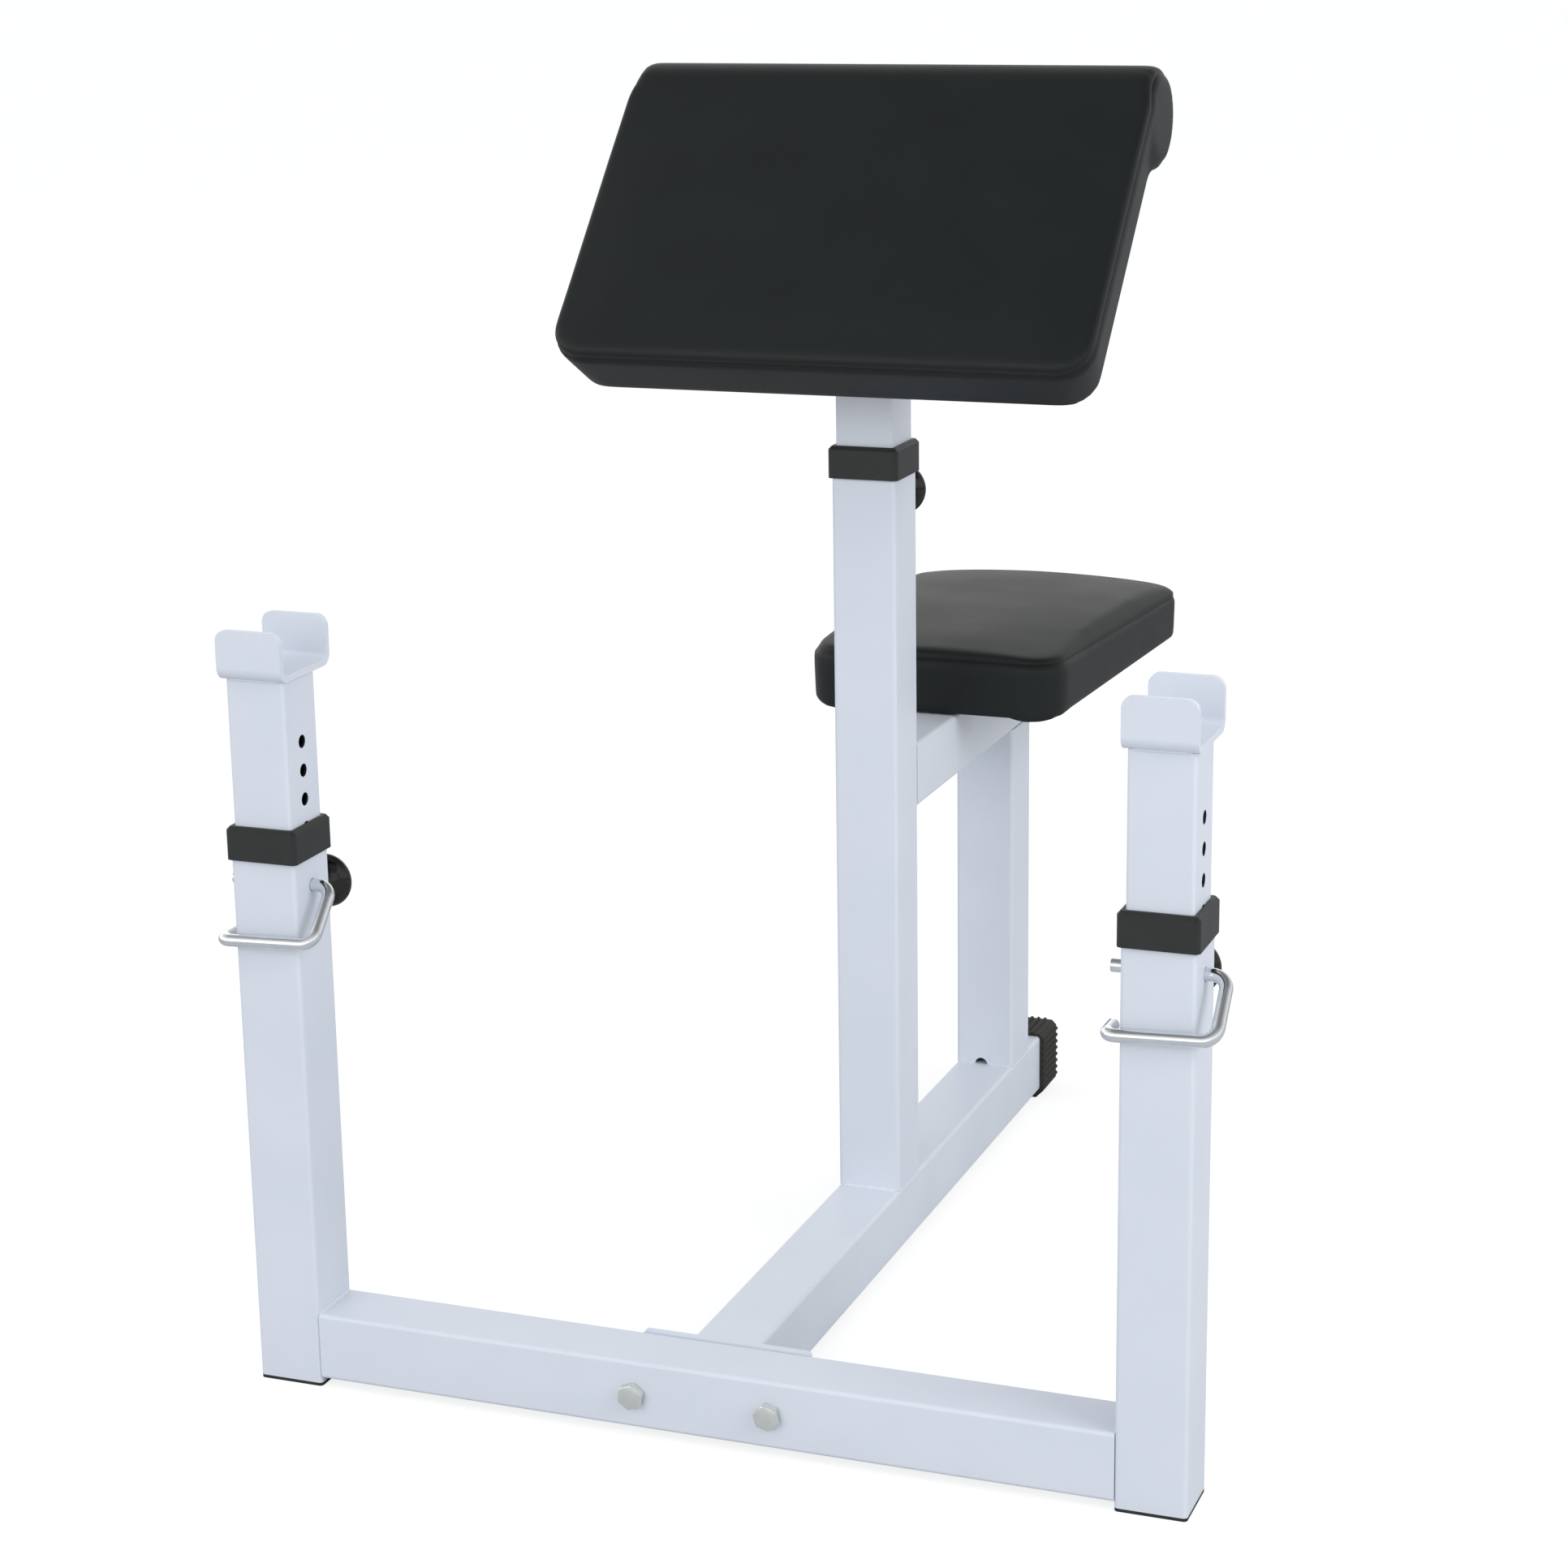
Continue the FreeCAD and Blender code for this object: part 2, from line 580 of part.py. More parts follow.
def tube_collar(name):
    """A collar: a skirt over the outer tube and a lip round the sliding tube."""
    body = new_body(name)
    block = new_sketch(body, "XY_Plane")
    hole = "(tube_side + 2 * fit_gap)"
    collar_side = f"({hole} + 2 * collar_wall)"
    draw_rectangle(block, collar_side, collar_side, "collar_corner")
    add_pad(body, block, "collar_height")
    sleeve = new_sketch(body, "XY_Plane")
    draw_rectangle(sleeve, hole, hole, "tube_corner")
    add_cut(body, sleeve, "collar_height - collar_roof", reverse=True)
    mouth = new_sketch(body, "XY_Plane")
    gap = f"{inner_side} + 2 * slide_gap"
    draw_rectangle(mouth, gap, gap, "inner_corner")
    cut = add_cut(body, mouth, reverse=True)
    doc.recompute()
    top = value("collar_height")
    rim = value(f"{collar_side} / 2 - collar_corner")
    bevel = body.newObject("PartDesign::Chamfer", body.Name + "_bevel")
    bevel.Base = (cut, edges_where(cut, lambda middle, span: (
        abs(middle.z - top) < touching and max(abs(middle.x), abs(middle.y)) > rim
        and max(abs(middle.x), abs(middle.y)) > value(f"({gap} + collar_wall) / 2"))))
    bind(bevel, Size="collar_chamfer")
    body.Tip = bevel
    return finish(body, name)


pad_collar = tube_collar("pad_collar")
place(pad_collar, "0", pad_post_y, "pad_upright_top + collar_roof - collar_height")


def knob(name, bore):
    """A mushroom knob on its hub, bevelled to its crown, with a blind bore for its shaft."""
    bevel_share = 1 - math.cos(math.radians(30))
    return turned(name, [
        (f"{bore} / 2", "0"),
        ("knob_hub", "0"),
        ("knob_hub", "knob_neck"),
        ("knob_radius - knob_edge", "knob_neck + knob_flare"),
        ("knob_radius", "knob_neck + knob_flare + knob_edge"),
        ("knob_radius", "knob_height - knob_dome"),
        (f"knob_radius - knob_dome * {bevel_share}", "knob_height - knob_dome / 2"),
        ("knob_radius - knob_dome / 2", f"knob_height - knob_dome * {bevel_share}"),
        ("knob_radius - knob_dome", "knob_height"),
        ("0", "knob_height"),
        ("0", "knob_bore"),
        (f"{bore} / 2", "knob_bore"),
    ])


def bent_wire(points, bends):
    """A wire through the points with a round bend of given radius at each inner point."""
    edges = []
    start = points[0]
    for i, radius in enumerate(bends, start=1):
        back = (points[i - 1] - points[i]).normalize()
        ahead = (points[i + 1] - points[i]).normalize()
        half = back.getAngle(ahead) / 2
        run = radius / math.tan(half)
        middle = (back + ahead).normalize()
        crown = points[i] + middle * (radius / math.sin(half) - radius)
        bend_start, bend_end = points[i] + back * run, points[i] + ahead * run
        edges.append(Part.makeLine(start, bend_start))
        edges.append(Part.Arc(bend_start, crown, bend_end).toShape())
        start = bend_end
    edges.append(Part.makeLine(start, points[-1]))
    return Part.Wire(edges)


def swept_rod(name, wire, diameter, sides=0):
    """A rod along a wire, round or with the given number of sides."""
    path = doc.addObject("Part::Feature", name + "_path")
    path.Shape = wire
    if sides:
        end = doc.addObject("Part::RegularPolygon", name + "_end")
        end.Polygon = sides
        bind(end, Circumradius=f"{diameter} / 2")
    else:
        end = doc.addObject("Part::Circle", name + "_end")
        bind(end, Radius=f"{diameter} / 2")
    first = wire.OrderedEdges[0]
    heading = first.tangentAt(first.FirstParameter)
    end.Placement = Placement(wire.OrderedVertexes[0].Point, Rotation(Vector(0, 0, 1), heading))
    rod = doc.addObject("Part::Sweep", name + "_rod")
    rod.Sections = [end]
    rod.Spine = (path, [f"Edge{number}" for number in range(1, len(wire.Edges) + 1)])
    rod.Solid = True
    return rod


# Bar racks. On each side a holed inner tube slides in its upright through a collar, a bent
# pin locks its height, a clamp screw takes up the play, and a bent plate cradles the bar.
for side, hand in ((-1, "left"), (1, "right")):
    upright_x = f"{side} * upright_spacing / 2"

    upright = square_tube(f"{hand}_upright", "upright_length")
    place(upright, upright_x, upright_y, "foot_flange")
    pin_mark = new_sketch(upright, "YZ_Plane")
    draw_circle(pin_mark, "0", f"{pin_z} - foot_flange", pin_hole)
    add_cut(upright, pin_mark, both_ways=True)
    wall_hole(upright, f"{clamp_z} - foot_flange", "stud_size + 2 * stud_play", rearward=True)

    foot = tube_plug(f"{hand}_foot_plug")
    place(foot, upright_x, upright_y)

    collar = tube_collar(f"{hand}_collar")
    place(collar, upright_x, upright_y, f"{upright_top} + collar_roof - collar_height")

    rack = square_tube(f"{hand}_rack_tube", f"{rack_top} - {rack_bottom}", inner_side, "inner_corner")
    place(rack, upright_x, upright_y, rack_bottom)
    lowest = new_sketch(rack, "YZ_Plane")
    draw_circle(lowest, "0", "rack_tail", pin_hole)
    hole = add_cut(rack, lowest, both_ways=True)
    add_row(rack, hole, "Z_Axis", "pin_pitch", lower_rack_holes + upper_rack_holes + 1)

    cradle = new_body(f"{hand}_bar_cradle")
    profile = new_sketch(cradle, "YZ_Plane")
    front, rear = "-cradle_front - tube_side / 2", "cradle_rear - tube_side / 2"
    draw_outline(profile, [
        (front, "cradle_height"),
        (front, "0"),
        (rear, "0"),
        (rear, "cradle_height"),
        (f"{rear} - cradle_thick", "cradle_height"),
        (f"{rear} - cradle_thick", "cradle_thick"),
        (f"{front} + cradle_thick", "cradle_thick"),
        (f"{front} + cradle_thick", "cradle_height"),
    ])
    plate = add_pad(cradle, profile, "cradle_width", both_ways=True)
    half_span, tall = value("cradle_width") / 2, value("cradle_height")
    thick = value("cradle_thick")
    low, high = value(front), value(rear)
    bend = round_edges(cradle, plate, "cradle_bend", lambda middle, span: (
        abs(span.x) > half_span and abs(middle.z - thick) < touching))
    bend = round_edges(cradle, bend, "cradle_bend + cradle_thick", lambda middle, span: (
        abs(span.x) > half_span and abs(middle.z) < touching
        and min(abs(middle.y - low), abs(middle.y - high)) < touching))
    round_edges(cradle, bend, "cradle_corner", lambda middle, span: (
        abs(middle.z - tall) < touching and abs(abs(middle.x) - half_span) < touching))
    place(cradle, upright_x, upright_y, rack_top)
    finish(cradle, f"{hand}_bar_cradle")

    grip_y, grip_z = value("-pin_forward - tube_side / 2"), value("-pin_drop")
    shoulder, grip_end = value("tube_side / 2 + pin_shoulder"), value("-tube_side / 2 - pin_grip_end")
    hook_z = grip_z - value("pin_sag")
    corners = [
        Vector(value("-tube_side / 2 - pin_tip"), 0, 0),
        Vector(shoulder, 0, 0),
        Vector(shoulder, grip_y, grip_z),
        Vector(grip_end, grip_y, hook_z),
        Vector(grip_end, grip_y + value("pin_hook"), hook_z),
    ]
    bends = [value("pin_bend"), value("pin_bend"), value("pin_hook_bend")]
    lock_pin = swept_rod(f"{hand}_lock_pin", bent_wire(corners, bends), "pin_rod")
    place(lock_pin, upright_x, upright_y, pin_z)
    finish(lock_pin, f"{hand}_lock_pin")

    block = hexagon(f"{hand}_clamp_nut_block", "weld_nut")
    thread = cylinder(f"{hand}_clamp_nut_thread", "stud_size + 2 * nut_gap", "weld_nut")
    clamp_nut = combine("Part::Cut", f"{hand}_clamp_nut_cut", block, thread)
    place(clamp_nut, upright_x, rear_face_y, clamp_z, BACKWARD)
    finish(clamp_nut, f"{hand}_clamp_nut")

    tip = f"({inner_side} - tube_side) / 2 + stud_tip_gap"
    stud = turned(f"{hand}_clamp_stud", [
        ("0", tip),
        ("stud_size / 2 - stud_bevel", tip),
        ("stud_size / 2", f"{tip} + stud_bevel"),
        ("stud_size / 2", "knob_stand + knob_bore"),
        ("0", "knob_stand + knob_bore"),
    ])
    place(stud, upright_x, rear_face_y, clamp_z, BACKWARD)
    finish(stud, f"{hand}_clamp_stud")

    clamp_knob = knob(f"{hand}_clamp_knob", "(stud_size + 2 * bore_gap)")
    place(clamp_knob, upright_x, f"{rear_face_y} + knob_stand", clamp_z, BACKWARD)
    finish(clamp_knob, f"{hand}_clamp_knob")

# Arm pad post. It slides in the pad upright, its rear wall has a row of holes for the pull
# pin, and its top is mitred to the slope of the pad.
pad_back = "(pad_depth + plate_thick)"
mitre_z = (f"{pad_edge_z} + (pad_edge_lead * {SLOPE_SIN} - {pad_back}) / {SLOPE_COS}"
           f" - {pad_post_bottom}")
mitre_rise = f"{inner_side} / 2 * {SLOPE_SIN / SLOPE_COS}"
post = square_tube("pad_inner_post", f"{mitre_z} + {mitre_rise}", inner_side, "inner_corner")
place(post, "0", pad_post_y, pad_post_bottom)
mitre = new_sketch(post, "YZ_Plane")
over = f"overrun * {SLOPE_SIN / SLOPE_COS}"
draw_outline(mitre, [
    (f"-{inner_side} / 2 - overrun", f"{mitre_z} - {mitre_rise} - {over}"),
    (f"{inner_side} / 2 + overrun", f"{mitre_z} + {mitre_rise} + {over}"),
    (f"-{inner_side} / 2 - overrun", f"{mitre_z} + {mitre_rise} + {over}"),
])
add_cut(post, mitre, both_ways=True)
lowest_notch = wall_hole(post, "post_tail", "plunger_size + 2 * notch_play", rearward=True)
add_row(post, lowest_notch, "Z_Axis", "pad_pitch", lower_pad_holes + upper_pad_holes + 1)

# Pull pin: a sprung plunger in a barrel on the pad upright, drawn out by a knob.
barrel = turned("pull_pin_barrel", [
    ("barrel_bore / 2", "0"),
    ("barrel_size / 2", "0"),
    ("barrel_size / 2", "barrel_length"),
    ("stem_size / 2 + nut_gap", "barrel_length"),
    ("stem_size / 2 + nut_gap", "barrel_length - barrel_end"),
    ("barrel_bore / 2", "barrel_length - barrel_end"),
])
place(barrel, "0", pull_y, pull_z, BACKWARD)
finish(barrel, "pull_pin_barrel")

pull_knob_start = "barrel_length + pull_knob_gap"
flange_size = "(barrel_bore - 2 * plunger_play)"
plunger = turned("pull_plunger", [
    ("0", "-plunger_reach"),
    ("plunger_size / 2 - stud_bevel", "-plunger_reach"),
    ("plunger_size / 2", "stud_bevel - plunger_reach"),
    ("plunger_size / 2", "flange_rest"),
    (f"{flange_size} / 2", "flange_rest"),
    (f"{flange_size} / 2", "flange_rest + flange_thick"),
    ("stem_size / 2", "flange_rest + flange_thick"),
    ("stem_size / 2", f"{pull_knob_start} + knob_bore"),
    ("0", f"{pull_knob_start} + knob_bore"),
])
place(plunger, "0", pull_y, pull_z, BACKWARD)
finish(plunger, "pull_plunger")

pull_knob = knob("pull_knob", "(stem_size + 2 * bore_gap)")
place(pull_knob, "0", f"{pull_y} + {pull_knob_start}", pull_z, BACKWARD)
finish(pull_knob, "pull_knob")

# The spring behind the plunger's flange. Each quarter turn of the coil is two arcs that meet
# smoothly and climb along its axis.
coil_low = value("flange_rest + flange_thick + coil_gap + coil_wire / 2")
coil_high = value("barrel_length - barrel_end - coil_gap - coil_wire / 2")
coil_r = value("coil_size / 2")
coil_rise = (coil_high - coil_low) / (2 * math.pi * coil_turns)


def coil_point(angle):
    return Vector(coil_r * math.sin(angle), -coil_r * math.cos(angle), coil_low + coil_rise * angle)


def coil_heading(angle):
    return Vector(coil_r * math.cos(angle), coil_r * math.sin(angle), coil_rise).normalize()


def smooth_arc(start, corner, end):
    """An arc from start to end whose tangents there meet at the corner."""
    chord_middle = (start + end) * 0.5
    half_chord = (end - start).Length / 2
    lean = (corner - start).getAngle(end - start)
    crown = chord_middle + (corner - chord_middle).normalize() * (half_chord * math.tan(lean / 2))
    return Part.Arc(start, crown, end).toShape()


coil_arcs = []
for quarter in range(4 * coil_turns):
    from_angle, to_angle = math.pi / 2 * quarter, math.pi / 2 * (quarter + 1)
    start, end = coil_point(from_angle), coil_point(to_angle)
    leave, arrive = coil_heading(from_angle), coil_heading(to_angle)
    span, both = end - start, leave + arrive
    square, linear = 4 - both.dot(both), span.dot(both)
    tangent_run = (math.sqrt(linear * linear + square * span.dot(span)) - linear) / square
    first_corner, last_corner = start + leave * tangent_run, end - arrive * tangent_run
    meeting = (first_corner + last_corner) * 0.5
    coil_arcs.append(smooth_arc(start, first_corner, meeting))
    coil_arcs.append(smooth_arc(meeting, last_corner, end))
spring = swept_rod("pull_pin_spring", Part.Wire(coil_arcs), "coil_wire", coil_sides)
place(spring, "0", pull_y, pull_z, BACKWARD)
finish(spring, "pull_pin_spring")


def on_slope(piece):
    """Lay a piece on the pad's slope, with its X across, Y up the slope and Z out of the face."""
    place(piece, "-pad_offset", pad_edge_y, pad_edge_z, SLOPED)


def screw(name, length):
    """A flat-headed screw along Z, its head below the origin."""
    return turned(name, [
        ("0", "-screw_head_thick"),
        ("screw_head / 2", "-screw_head_thick"),
        ("screw_head / 2", "0"),
        ("screw_size / 2", "0"),
        ("screw_size / 2", length),
        ("0", length),
    ])


# Arm pad: a mounting plate welded on the post, a plywood board screwed to it, and a cushion
# that wraps the board and swells into a roll along its upper edge.
board_half = "(pad_width / 2 - pad_tuck - board_inset)"
board_low, board_high = "(pad_tuck + board_inset)", "(pad_reach - roll_radius - board_inset / 2)"
mount = new_body("pad_mount_plate")
mount_face = new_sketch(mount, "XY_Plane", f"-{pad_back}")
mount_low, mount_high = f"({board_low} + mount_low_margin)", f"({board_high} - mount_high_margin)"
half_mount = "mount_width / 2"
draw_rounded(mount_face, [
    (f"-{half_mount}", mount_low, "board_corner"), (half_mount, mount_low, "board_corner"),
    (half_mount, mount_high, "board_corner"), (f"-{half_mount}", mount_high, "board_corner"),
])
pad_screw_spots = []
for side in (-1, 1):
    for spot_y in (f"{mount_low} + screw_inset", f"{mount_high} - screw_inset"):
        pad_screw_spots.append((f"{side} * ({half_mount} - screw_inset)", spot_y))
for spot_x, spot_y in pad_screw_spots:
    draw_circle(mount_face, spot_x, spot_y, "screw_size + 2 * bolt_gap")
add_pad(mount, mount_face, "plate_thick")
on_slope(mount)
finish(mount, "pad_mount_plate")


def pad_board_corners(gap):
    """Corners of the pad's board, grown by a gap."""
    return [
        (f"-{board_half} - {gap}", f"{board_low} - {gap}", "board_corner"),
        (f"{board_half} + {gap}", f"{board_low} - {gap}", "board_corner"),
        (f"{board_half} + {gap}", f"{board_high} + {gap}", "board_corner"),
        (f"-{board_half} - {gap}", f"{board_high} + {gap}", "board_corner"),
    ]


board = new_body("pad_board")
board_face = new_sketch(board, "XY_Plane", "-pad_depth")
draw_rounded(board_face, pad_board_corners("0"))
for spot_x, spot_y in pad_screw_spots:
    draw_circle(board_face, spot_x, spot_y, "screw_size + 2 * nut_gap")
add_pad(board, board_face, "board_thick")
on_slope(board)
finish(board, "pad_board")

pad_screws = []
for spot_x, spot_y in pad_screw_spots:
    fixing = screw("pad_screw", "plate_thick + screw_bite")
    place(fixing, spot_x, spot_y, f"-{pad_back}")
    pad_screws.append(fixing)
on_slope(group("pad_screws", pad_screws))

slab = new_body("pad_slab")
layers = []
for height, inset, corner in (
    ("-pad_depth", "pad_tuck", "pad_back_corner"),
    ("-pad_seam", "0", "pad_corner"),
    ("0", "pad_lip", "pad_corner"),
    ("pad_crown + overrun", "pad_shoulder", "pad_corner"),
):
    layer = new_sketch(slab, "XY_Plane", height)
    half = f"(pad_width / 2 - {inset})"
    draw_rounded(layer, [
        (f"-{half}", inset, corner), (half, inset, corner),
        (half, "pad_reach", "roll_round"), (f"-{half}", "pad_reach", "roll_round"),
    ])
    layers.append(layer)
swell = slab.newObject("PartDesign::AdditiveLoft", "pad_slab_loft")
swell.Profile = layers[0]
swell.Sections = layers[1:]
swell.Ruled = True

arch_radius = "(pad_width * pad_width / 8 / pad_crown + pad_crown / 2)"
arch = cylinder("pad_arch", f"2 * {arch_radius}", "pad_reach + 2 * overrun")
place(arch, "0", "pad_reach + overrun", f"pad_crown - {arch_radius}", FORWARD)
crowned = combine("Part::Common", "pad_crowned", slab, arch)

half_roll = "(pad_width / 2 - roll_inset)"
roll = turned("pad_roll", [
    ("0", f"-{half_roll}"),
    ("roll_radius - roll_round", f"-{half_roll}"),
    ("roll_radius", f"roll_round - {half_roll}"),
    ("roll_radius", f"{half_roll} - roll_round"),
    ("roll_radius - roll_round", half_roll),
    ("0", half_roll),
])
place(roll, "0", "pad_reach", "roll_proud - roll_radius", ACROSS)
stuffed = combine("Part::Fuse", "pad_stuffed", crowned, roll)

recess = new_body("pad_recess")
recess_face = new_sketch(recess, "XY_Plane", "-pad_depth - overrun")
draw_rounded(recess_face, pad_board_corners("board_gap"))
add_pad(recess, recess_face, "overrun + board_thick + board_gap")
pad_cushion = combine("Part::Cut", "pad_cushion_cut", stuffed, recess)
on_slope(pad_cushion)
finish(pad_cushion, "pad_cushion")

# Seat: two straps across the seat bar, a board screwed to them, and a crowned cushion that
# widens towards the rear.
strap_base_z = "seat_bar_z + tube_side"
seat_base_z = f"{strap_base_z} + strap_thick"
strap_half = "(strap_length / 2 - screw_inset)"
straps, seat_spots = [], []
for strap_y in ("(-strap_front_lead)", "(-strap_rear_lead)"):
    strap = new_body("seat_strap")
    strap_face = new_sketch(strap, "XY_Plane")
    draw_rectangle(strap_face, "strap_length", "strap_width", "tube_corner")
    for side in (-1, 1):
        draw_circle(strap_face, f"{side} * {strap_half}", "0", "screw_size + 2 * bolt_gap")
        seat_spots.append((f"{side} * {strap_half}", strap_y))
    add_pad(strap, strap_face, "strap_thick")
    place(strap, "0", f"{seat_post_y} + {strap_y}", strap_base_z)
    straps.append(strap)
group("seat_straps", straps)


def seat_corners(inset):
    """The seat's outline drawn in by an inset all round, for a body at the seat post."""
    front_half, rear_half = f"(seat_front_width / 2 - {inset})", f"(seat_rear_width / 2 - {inset})"
    front, rear = f"{inset} - seat_front_lead", f"seat_rear_back - {inset}"
    return [
        (f"seat_offset - {front_half}", front, "seat_front_corner"),
        (f"seat_offset + {front_half}", front, "seat_front_corner"),
        (f"seat_offset + {rear_half}", rear, "seat_rear_corner"),
        (f"seat_offset - {rear_half}", rear, "seat_rear_corner"),
    ]


seat_board = new_body("seat_board")
seat_board_face = new_sketch(seat_board, "XY_Plane")
draw_rounded(seat_board_face, seat_corners("(seat_tuck + board_inset)"))
for spot_x, spot_y in seat_spots:
    draw_circle(seat_board_face, spot_x, spot_y, "screw_size + 2 * nut_gap")
add_pad(seat_board, seat_board_face, "board_thick")
place(seat_board, "0", seat_post_y, seat_base_z)
finish(seat_board, "seat_board")

seat_screws = []
for spot_x, spot_y in seat_spots:
    fixing = screw("seat_screw", "strap_thick + screw_bite")
    place(fixing, spot_x, f"{seat_post_y} + {spot_y}", strap_base_z)
    seat_screws.append(fixing)
group("seat_screws", seat_screws)

seat_slab = new_body("seat_slab")
layers = []
for height, inset in (
    ("0", "seat_tuck"),
    ("seat_seam", "0"),
    ("seat_seam + seat_lip_height", "seat_lip"),
    ("seat_crown + overrun", "seat_shoulder"),
):
    layer = new_sketch(seat_slab, "XY_Plane", height)
    draw_rounded(layer, seat_corners(inset))
    layers.append(layer)
seat_swell = seat_slab.newObject("PartDesign::AdditiveLoft", "seat_slab_loft")
seat_swell.Profile = layers[0]
seat_swell.Sections = layers[1:]
seat_swell.Ruled = True
dome = doc.addObject("Part::Sphere", "seat_dome")
bind(dome, Radius="seat_crown_radius")
place(dome, "seat_offset", "(seat_rear_back - seat_front_lead) / 2", "seat_crown - seat_crown_radius")
seat_crowned = combine("Part::Common", "seat_crowned", seat_slab, dome)
seat_recess = new_body("seat_recess")
seat_recess_face = new_sketch(seat_recess, "XY_Plane", "-overrun")
draw_rounded(seat_recess_face, seat_corners("(seat_tuck + board_inset - board_gap)"))
add_pad(seat_recess, seat_recess_face, "overrun + board_thick + board_gap")
seat_cushion = combine("Part::Cut", "seat_cushion_cut", seat_crowned, seat_recess)
place(seat_cushion, "0", seat_post_y, seat_base_z)
finish(seat_cushion, "seat_cushion")

# Each finished piece is checked and written to a file of its own.
doc.recompute()
for piece in doc.Objects:
    if "Invalid" in piece.State or "Error" in piece.State:
        raise RuntimeError(f"{piece.Name} ({piece.Label}) did not build: {piece.State}")
os.makedirs("parts", exist_ok=True)
for piece in finished:
    if piece.Shape.isNull() or not piece.Shape.isValid() or not piece.Shape.Solids:
        raise RuntimeError(f"{piece.Label} has no sound solid")
    piece.Shape.exportStep(f"parts/{piece.Label}.step")
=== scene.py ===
import math

import bpy
import numpy as np
from mathutils import Matrix, Vector


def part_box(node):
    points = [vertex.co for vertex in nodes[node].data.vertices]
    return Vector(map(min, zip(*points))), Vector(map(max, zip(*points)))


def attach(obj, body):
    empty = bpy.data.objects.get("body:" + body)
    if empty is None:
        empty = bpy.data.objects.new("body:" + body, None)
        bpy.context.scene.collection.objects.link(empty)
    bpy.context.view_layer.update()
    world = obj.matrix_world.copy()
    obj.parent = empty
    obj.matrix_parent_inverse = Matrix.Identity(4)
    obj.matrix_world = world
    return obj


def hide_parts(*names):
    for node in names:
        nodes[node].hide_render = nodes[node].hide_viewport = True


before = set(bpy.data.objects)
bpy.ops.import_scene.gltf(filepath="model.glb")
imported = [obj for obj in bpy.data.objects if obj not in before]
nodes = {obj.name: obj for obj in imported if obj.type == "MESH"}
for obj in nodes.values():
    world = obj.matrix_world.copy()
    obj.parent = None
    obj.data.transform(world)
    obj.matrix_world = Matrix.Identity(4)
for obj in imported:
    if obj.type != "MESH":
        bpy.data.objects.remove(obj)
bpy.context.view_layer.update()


# Floor frame, posts, seat bar and straps. Square steel tube and flat bar, cut, welded, blasted
# and powder coated in a cool white. The coat cures satin with a faint orange peel, so the flats
# show a slight cloud and the round corners a soft line of light.
def linear(hex_colour):
    """An sRGB hex colour as linear red, green, blue and alpha."""
    channels = [int(hex_colour[i:i + 2], 16) / 255 for i in (1, 3, 5)]
    return [c / 12.92 if c <= 0.04045 else ((c + 0.055) / 1.055) ** 2.4 for c in channels] + [1.0]


def add_node(tree, kind, inputs=None, **settings):
    """Add a node, set its settings, and fill its inputs with values or links."""
    node = tree.nodes.new(kind)
    for name, setting in settings.items():
        setattr(node, name, setting)
    for socket, source in (inputs or {}).items():
        if isinstance(source, bpy.types.NodeSocket):
            tree.links.new(source, node.inputs[socket])
        else:
            node.inputs[socket].default_value = source
    return node


def per_metre(millimetres):
    """Texture scale of a pattern whose cells are this many millimetres wide."""
    return 1000 / millimetres


def start_finish(name):
    """A new material, with its tree, its shader and the coordinates that its patterns follow."""
    material = bpy.data.materials.new(name)
    material.use_nodes = True
    tree = material.node_tree
    place = add_node(tree, "ShaderNodeTexCoord").outputs["Object"]
    return material, tree, tree.nodes["Principled BSDF"], place


def mottle(tree, shader, pattern, tints, roughness):
    """Let a pattern carry a finish from one tint and roughness to another."""
    tint = add_node(tree, "ShaderNodeMix", {
        "Factor": pattern, "A": linear(tints[0]), "B": linear(tints[1])}, data_type="RGBA")
    tree.links.new(tint.outputs["Result"], shader.inputs["Base Color"])
    gloss = add_node(tree, "ShaderNodeMapRange", {
        "Value": pattern, "To Min": roughness[0], "To Max": roughness[1]})
    tree.links.new(gloss.outputs["Result"], shader.inputs["Roughness"])
    return tint.outputs["Result"]


def dress(material, *names):
    """Give CAD nodes a finish."""
    for name in names:
        nodes[name].data.materials.clear()
        nodes[name].data.materials.append(material)


powder_coat, tree, shader, place = start_finish("white_powder_coat")
cloud = add_node(tree, "ShaderNodeTexNoise", {"Vector": place, "Scale": per_metre(70), "Detail": 3.0})
mottle(tree, shader, cloud.outputs["Fac"], ("#d2d8e2", "#dce1e9"), (0.34, 0.46))
peel = add_node(tree, "ShaderNodeTexNoise", {"Vector": place, "Scale": per_metre(2.2), "Detail": 2.0})
bump = add_node(tree, "ShaderNodeBump", {
    "Height": peel.outputs["Fac"], "Strength": 0.12, "Distance": 0.0003})
tree.links.new(bump.outputs["Normal"], shader.inputs["Normal"])
shader.inputs["IOR"].default_value = 1.5
shader.inputs["Specular IOR Level"].default_value = 0.3

dress(powder_coat, "front_cross_tube", "left_upright", "right_upright", "base_spine",
      "spine_flange_plate", "pad_upright", "seat_post", "seat_bar", "seat_straps")

# Welds of the floor frame. Short fillet runs laid by hand where a tube's end stands on another
# tube, dressed a little and coated with the frame, so only a soft ripple is left of them.
cross_low, cross_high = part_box("front_cross_tube")
spine_low, spine_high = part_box("base_spine")
pad_upright_low, pad_upright_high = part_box("pad_upright")
seat_post_low, seat_post_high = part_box("seat_post")
seat_bar_low, seat_bar_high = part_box("seat_bar")
flange_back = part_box("spine_flange_plate")[1].y
bead_radius, bead_length, bead_sides, bead_rings = 0.0017, 0.040, 14, 64
tip_width, tip_growth = 0.35, 9
ripple_pitch, ripple_height = 0.0032, 0.09
run_short = 0.003

